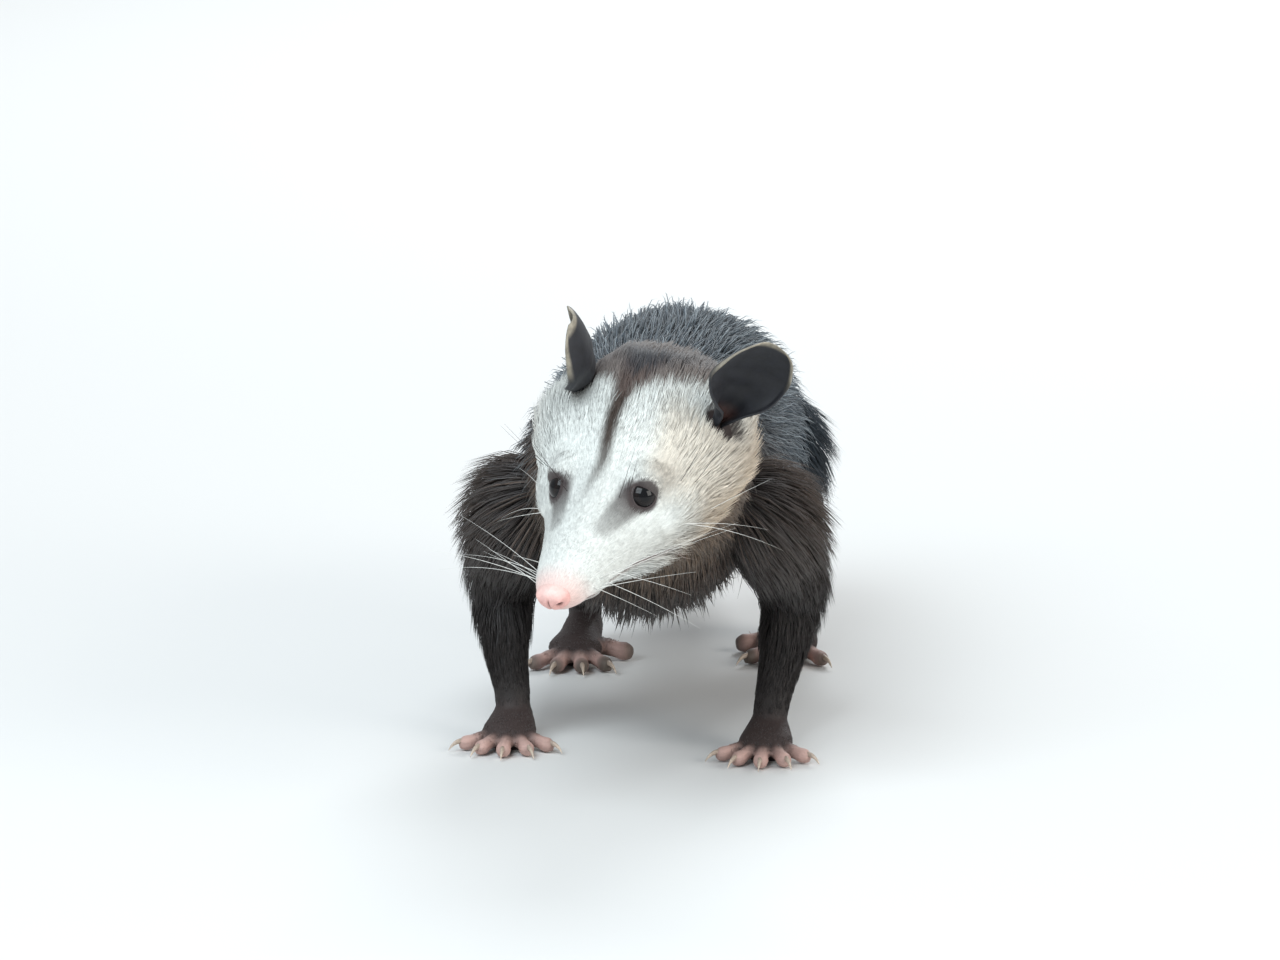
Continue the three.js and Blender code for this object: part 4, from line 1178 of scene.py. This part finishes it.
smooth_look = {"uneven": 0.04, "flatness": 0.08, "evenness": 0.85}
coat_piece("face_velvet", rooted(FACE_TUFTS, is_face), SHORT_TUFT, "face_fur", 8, 0.12, **smooth_look)
for side, is_side in (("left", y_head > 0), ("right", y_head <= 0)):
    hair = rooted(HEAD_TUFTS, is_head & ~is_face & is_side)
    coat_piece(f"head_coat_{side}", hair, SHORT_TUFT, "face_fur", 10, 0.42, uneven=0.07, evenness=0.6)
TRUNK_COATS = [("neck", -1, 0.3, (0.8, 1.25)), ("shoulder", 0.3, 0.6, (0.9, 1.2)), ("rump", 0.6, 2, (0.9, 1.2))]
for name, start, end, shades in TRUNK_COATS:
    hair = rooted(TRUNK_TUFTS, is_trunk & (trunk_t >= start) & (trunk_t < end))
    coat_piece(f"{name}_coat", hair, LONG_TUFT, "body_fur", shades=shades)
for name, region in (("foreleg", is_leg & is_front), ("hindleg", is_leg & ~is_front)):
    coat_piece(f"{name}_coat", rooted(LEG_TUFTS, region), SHORT_TUFT, "leg_fur", 10, 0.45, (1.0, 1.25))

# Longer, thinner hairs over the trunk, greyed toward the tip above and on the flanks; the grey tips are tinted blue by
# a painted sky reflection
GUARD_GREY_WITH_PAINTED_SKY_BLUE = np.array([0.52, 0.60, 0.65])
guard = rooted(GUARD_TUFTS, is_trunk & (trunk_t > 0.12))
for key, share in (("length", 1.12), ("lift", 1.12), ("width", 0.55)):
    guard[key] = guard[key] * share
upper = ramp(np.sin(skin_seen["angle"][guard["corner"]]), -0.7, 0.3)[:, None]
grey = rng.uniform(0.15, 0.75, (len(guard["root"]), 1)) * upper
guard["tip_colour"] = guard["colour"] + (GUARD_GREY_WITH_PAINTED_SKY_BLUE - guard["colour"]) * grey
coat_piece("guard_hairs", guard, LONG_TUFT, "body_fur", 5, 0.35)

# The whiskers
# Long white bristles on the lips and cheeks, and a few long dark ones over each eye and on the cheek. Each is
# one tapered, bending bristle, rooted in the skin.

BRISTLE_ROWS = 9
BRISTLE_THICKNESS = 0.15
BRISTLE_DEPTH = 0.8
skin_tree = tree_of(skin_points)


def bristle(corner, way, length, sag):
    rows = np.linspace(0, 1, BRISTLE_ROWS)
    places = skin_points[corner] - BRISTLE_DEPTH * outward[corner]
    places = places + way * (rows * length)[:, None] + DOWN * (sag * length * rows**2)[:, None]
    girths = [(BRISTLE_THICKNESS * (1 - 0.85 * s),) * 3 for s in rows]
    return tube_shell(tube(places, girths, reference=np.array([0.3, 0.2, 0.93])), 10, 5)


def on_skin(spots, sign):
    return [skin_tree.find(place)[1] for place in on_head(np.array(spots) * [1, sign, 1])]


# Spots on the left of the head: three rows on the lip, one on the cheek, and the dark ones by eye and cheek
lip_steps = [(row, k) for row in range(3) for k in (0, 1, 2 + row)[: 3 - row // 2]]
lip_spots = [(46 - 4.2 * k, 12 + 1.4 * k, -8.5 - 1.1 * k + 2.2 * row) for row, k in lip_steps]
cheek_spots = [(2 - 7 * k, 30, -12 - 2.5 * k) for k in range(3)]
dark_spots = [(6, 13, 8), (3, 15, 8), (-14, 30, -2), (-18, 33, -6)]
white_bristles, dark_bristles = [], []
for sign in (1, -1):
    for k, corner in enumerate(on_skin(lip_spots + cheek_spots, sign)):
        back_way = head_way((rng.uniform(-0.95, 0.0), sign * rng.uniform(0.5, 0.95), rng.uniform(-0.75, 0.5)))
        way = unit(back_way + 0.25 * outward[corner])
        length = rng.uniform(26, 66) if k < len(lip_spots) else rng.uniform(30, 44)
        white_bristles.append(bristle(corner, way, length, rng.uniform(0.0, 0.22)))
    for corner in on_skin(dark_spots, sign):
        way = unit(0.75 * outward[corner] + head_way((-0.2, sign * 0.25, 0.4)) + rng.normal(0, 0.08, 3))
        dark_bristles.append(bristle(corner, way, rng.uniform(26, 40), -0.05))
WHISKER_WHITE = (0.82, 0.81, 0.77)
WHISKER_DARK = (0.03, 0.022, 0.02)
for name, bristles, colour in (
    ("white_whiskers", white_bristles, WHISKER_WHITE),
    ("dark_whiskers", dark_bristles, WHISKER_DARK),
):
    whiskers = new_piece(name, *joined_shells(bristles))
    paint(whiskers.data, colour)
    whiskers.data.materials.append(coat_finish)
    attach(whiskers, "root")
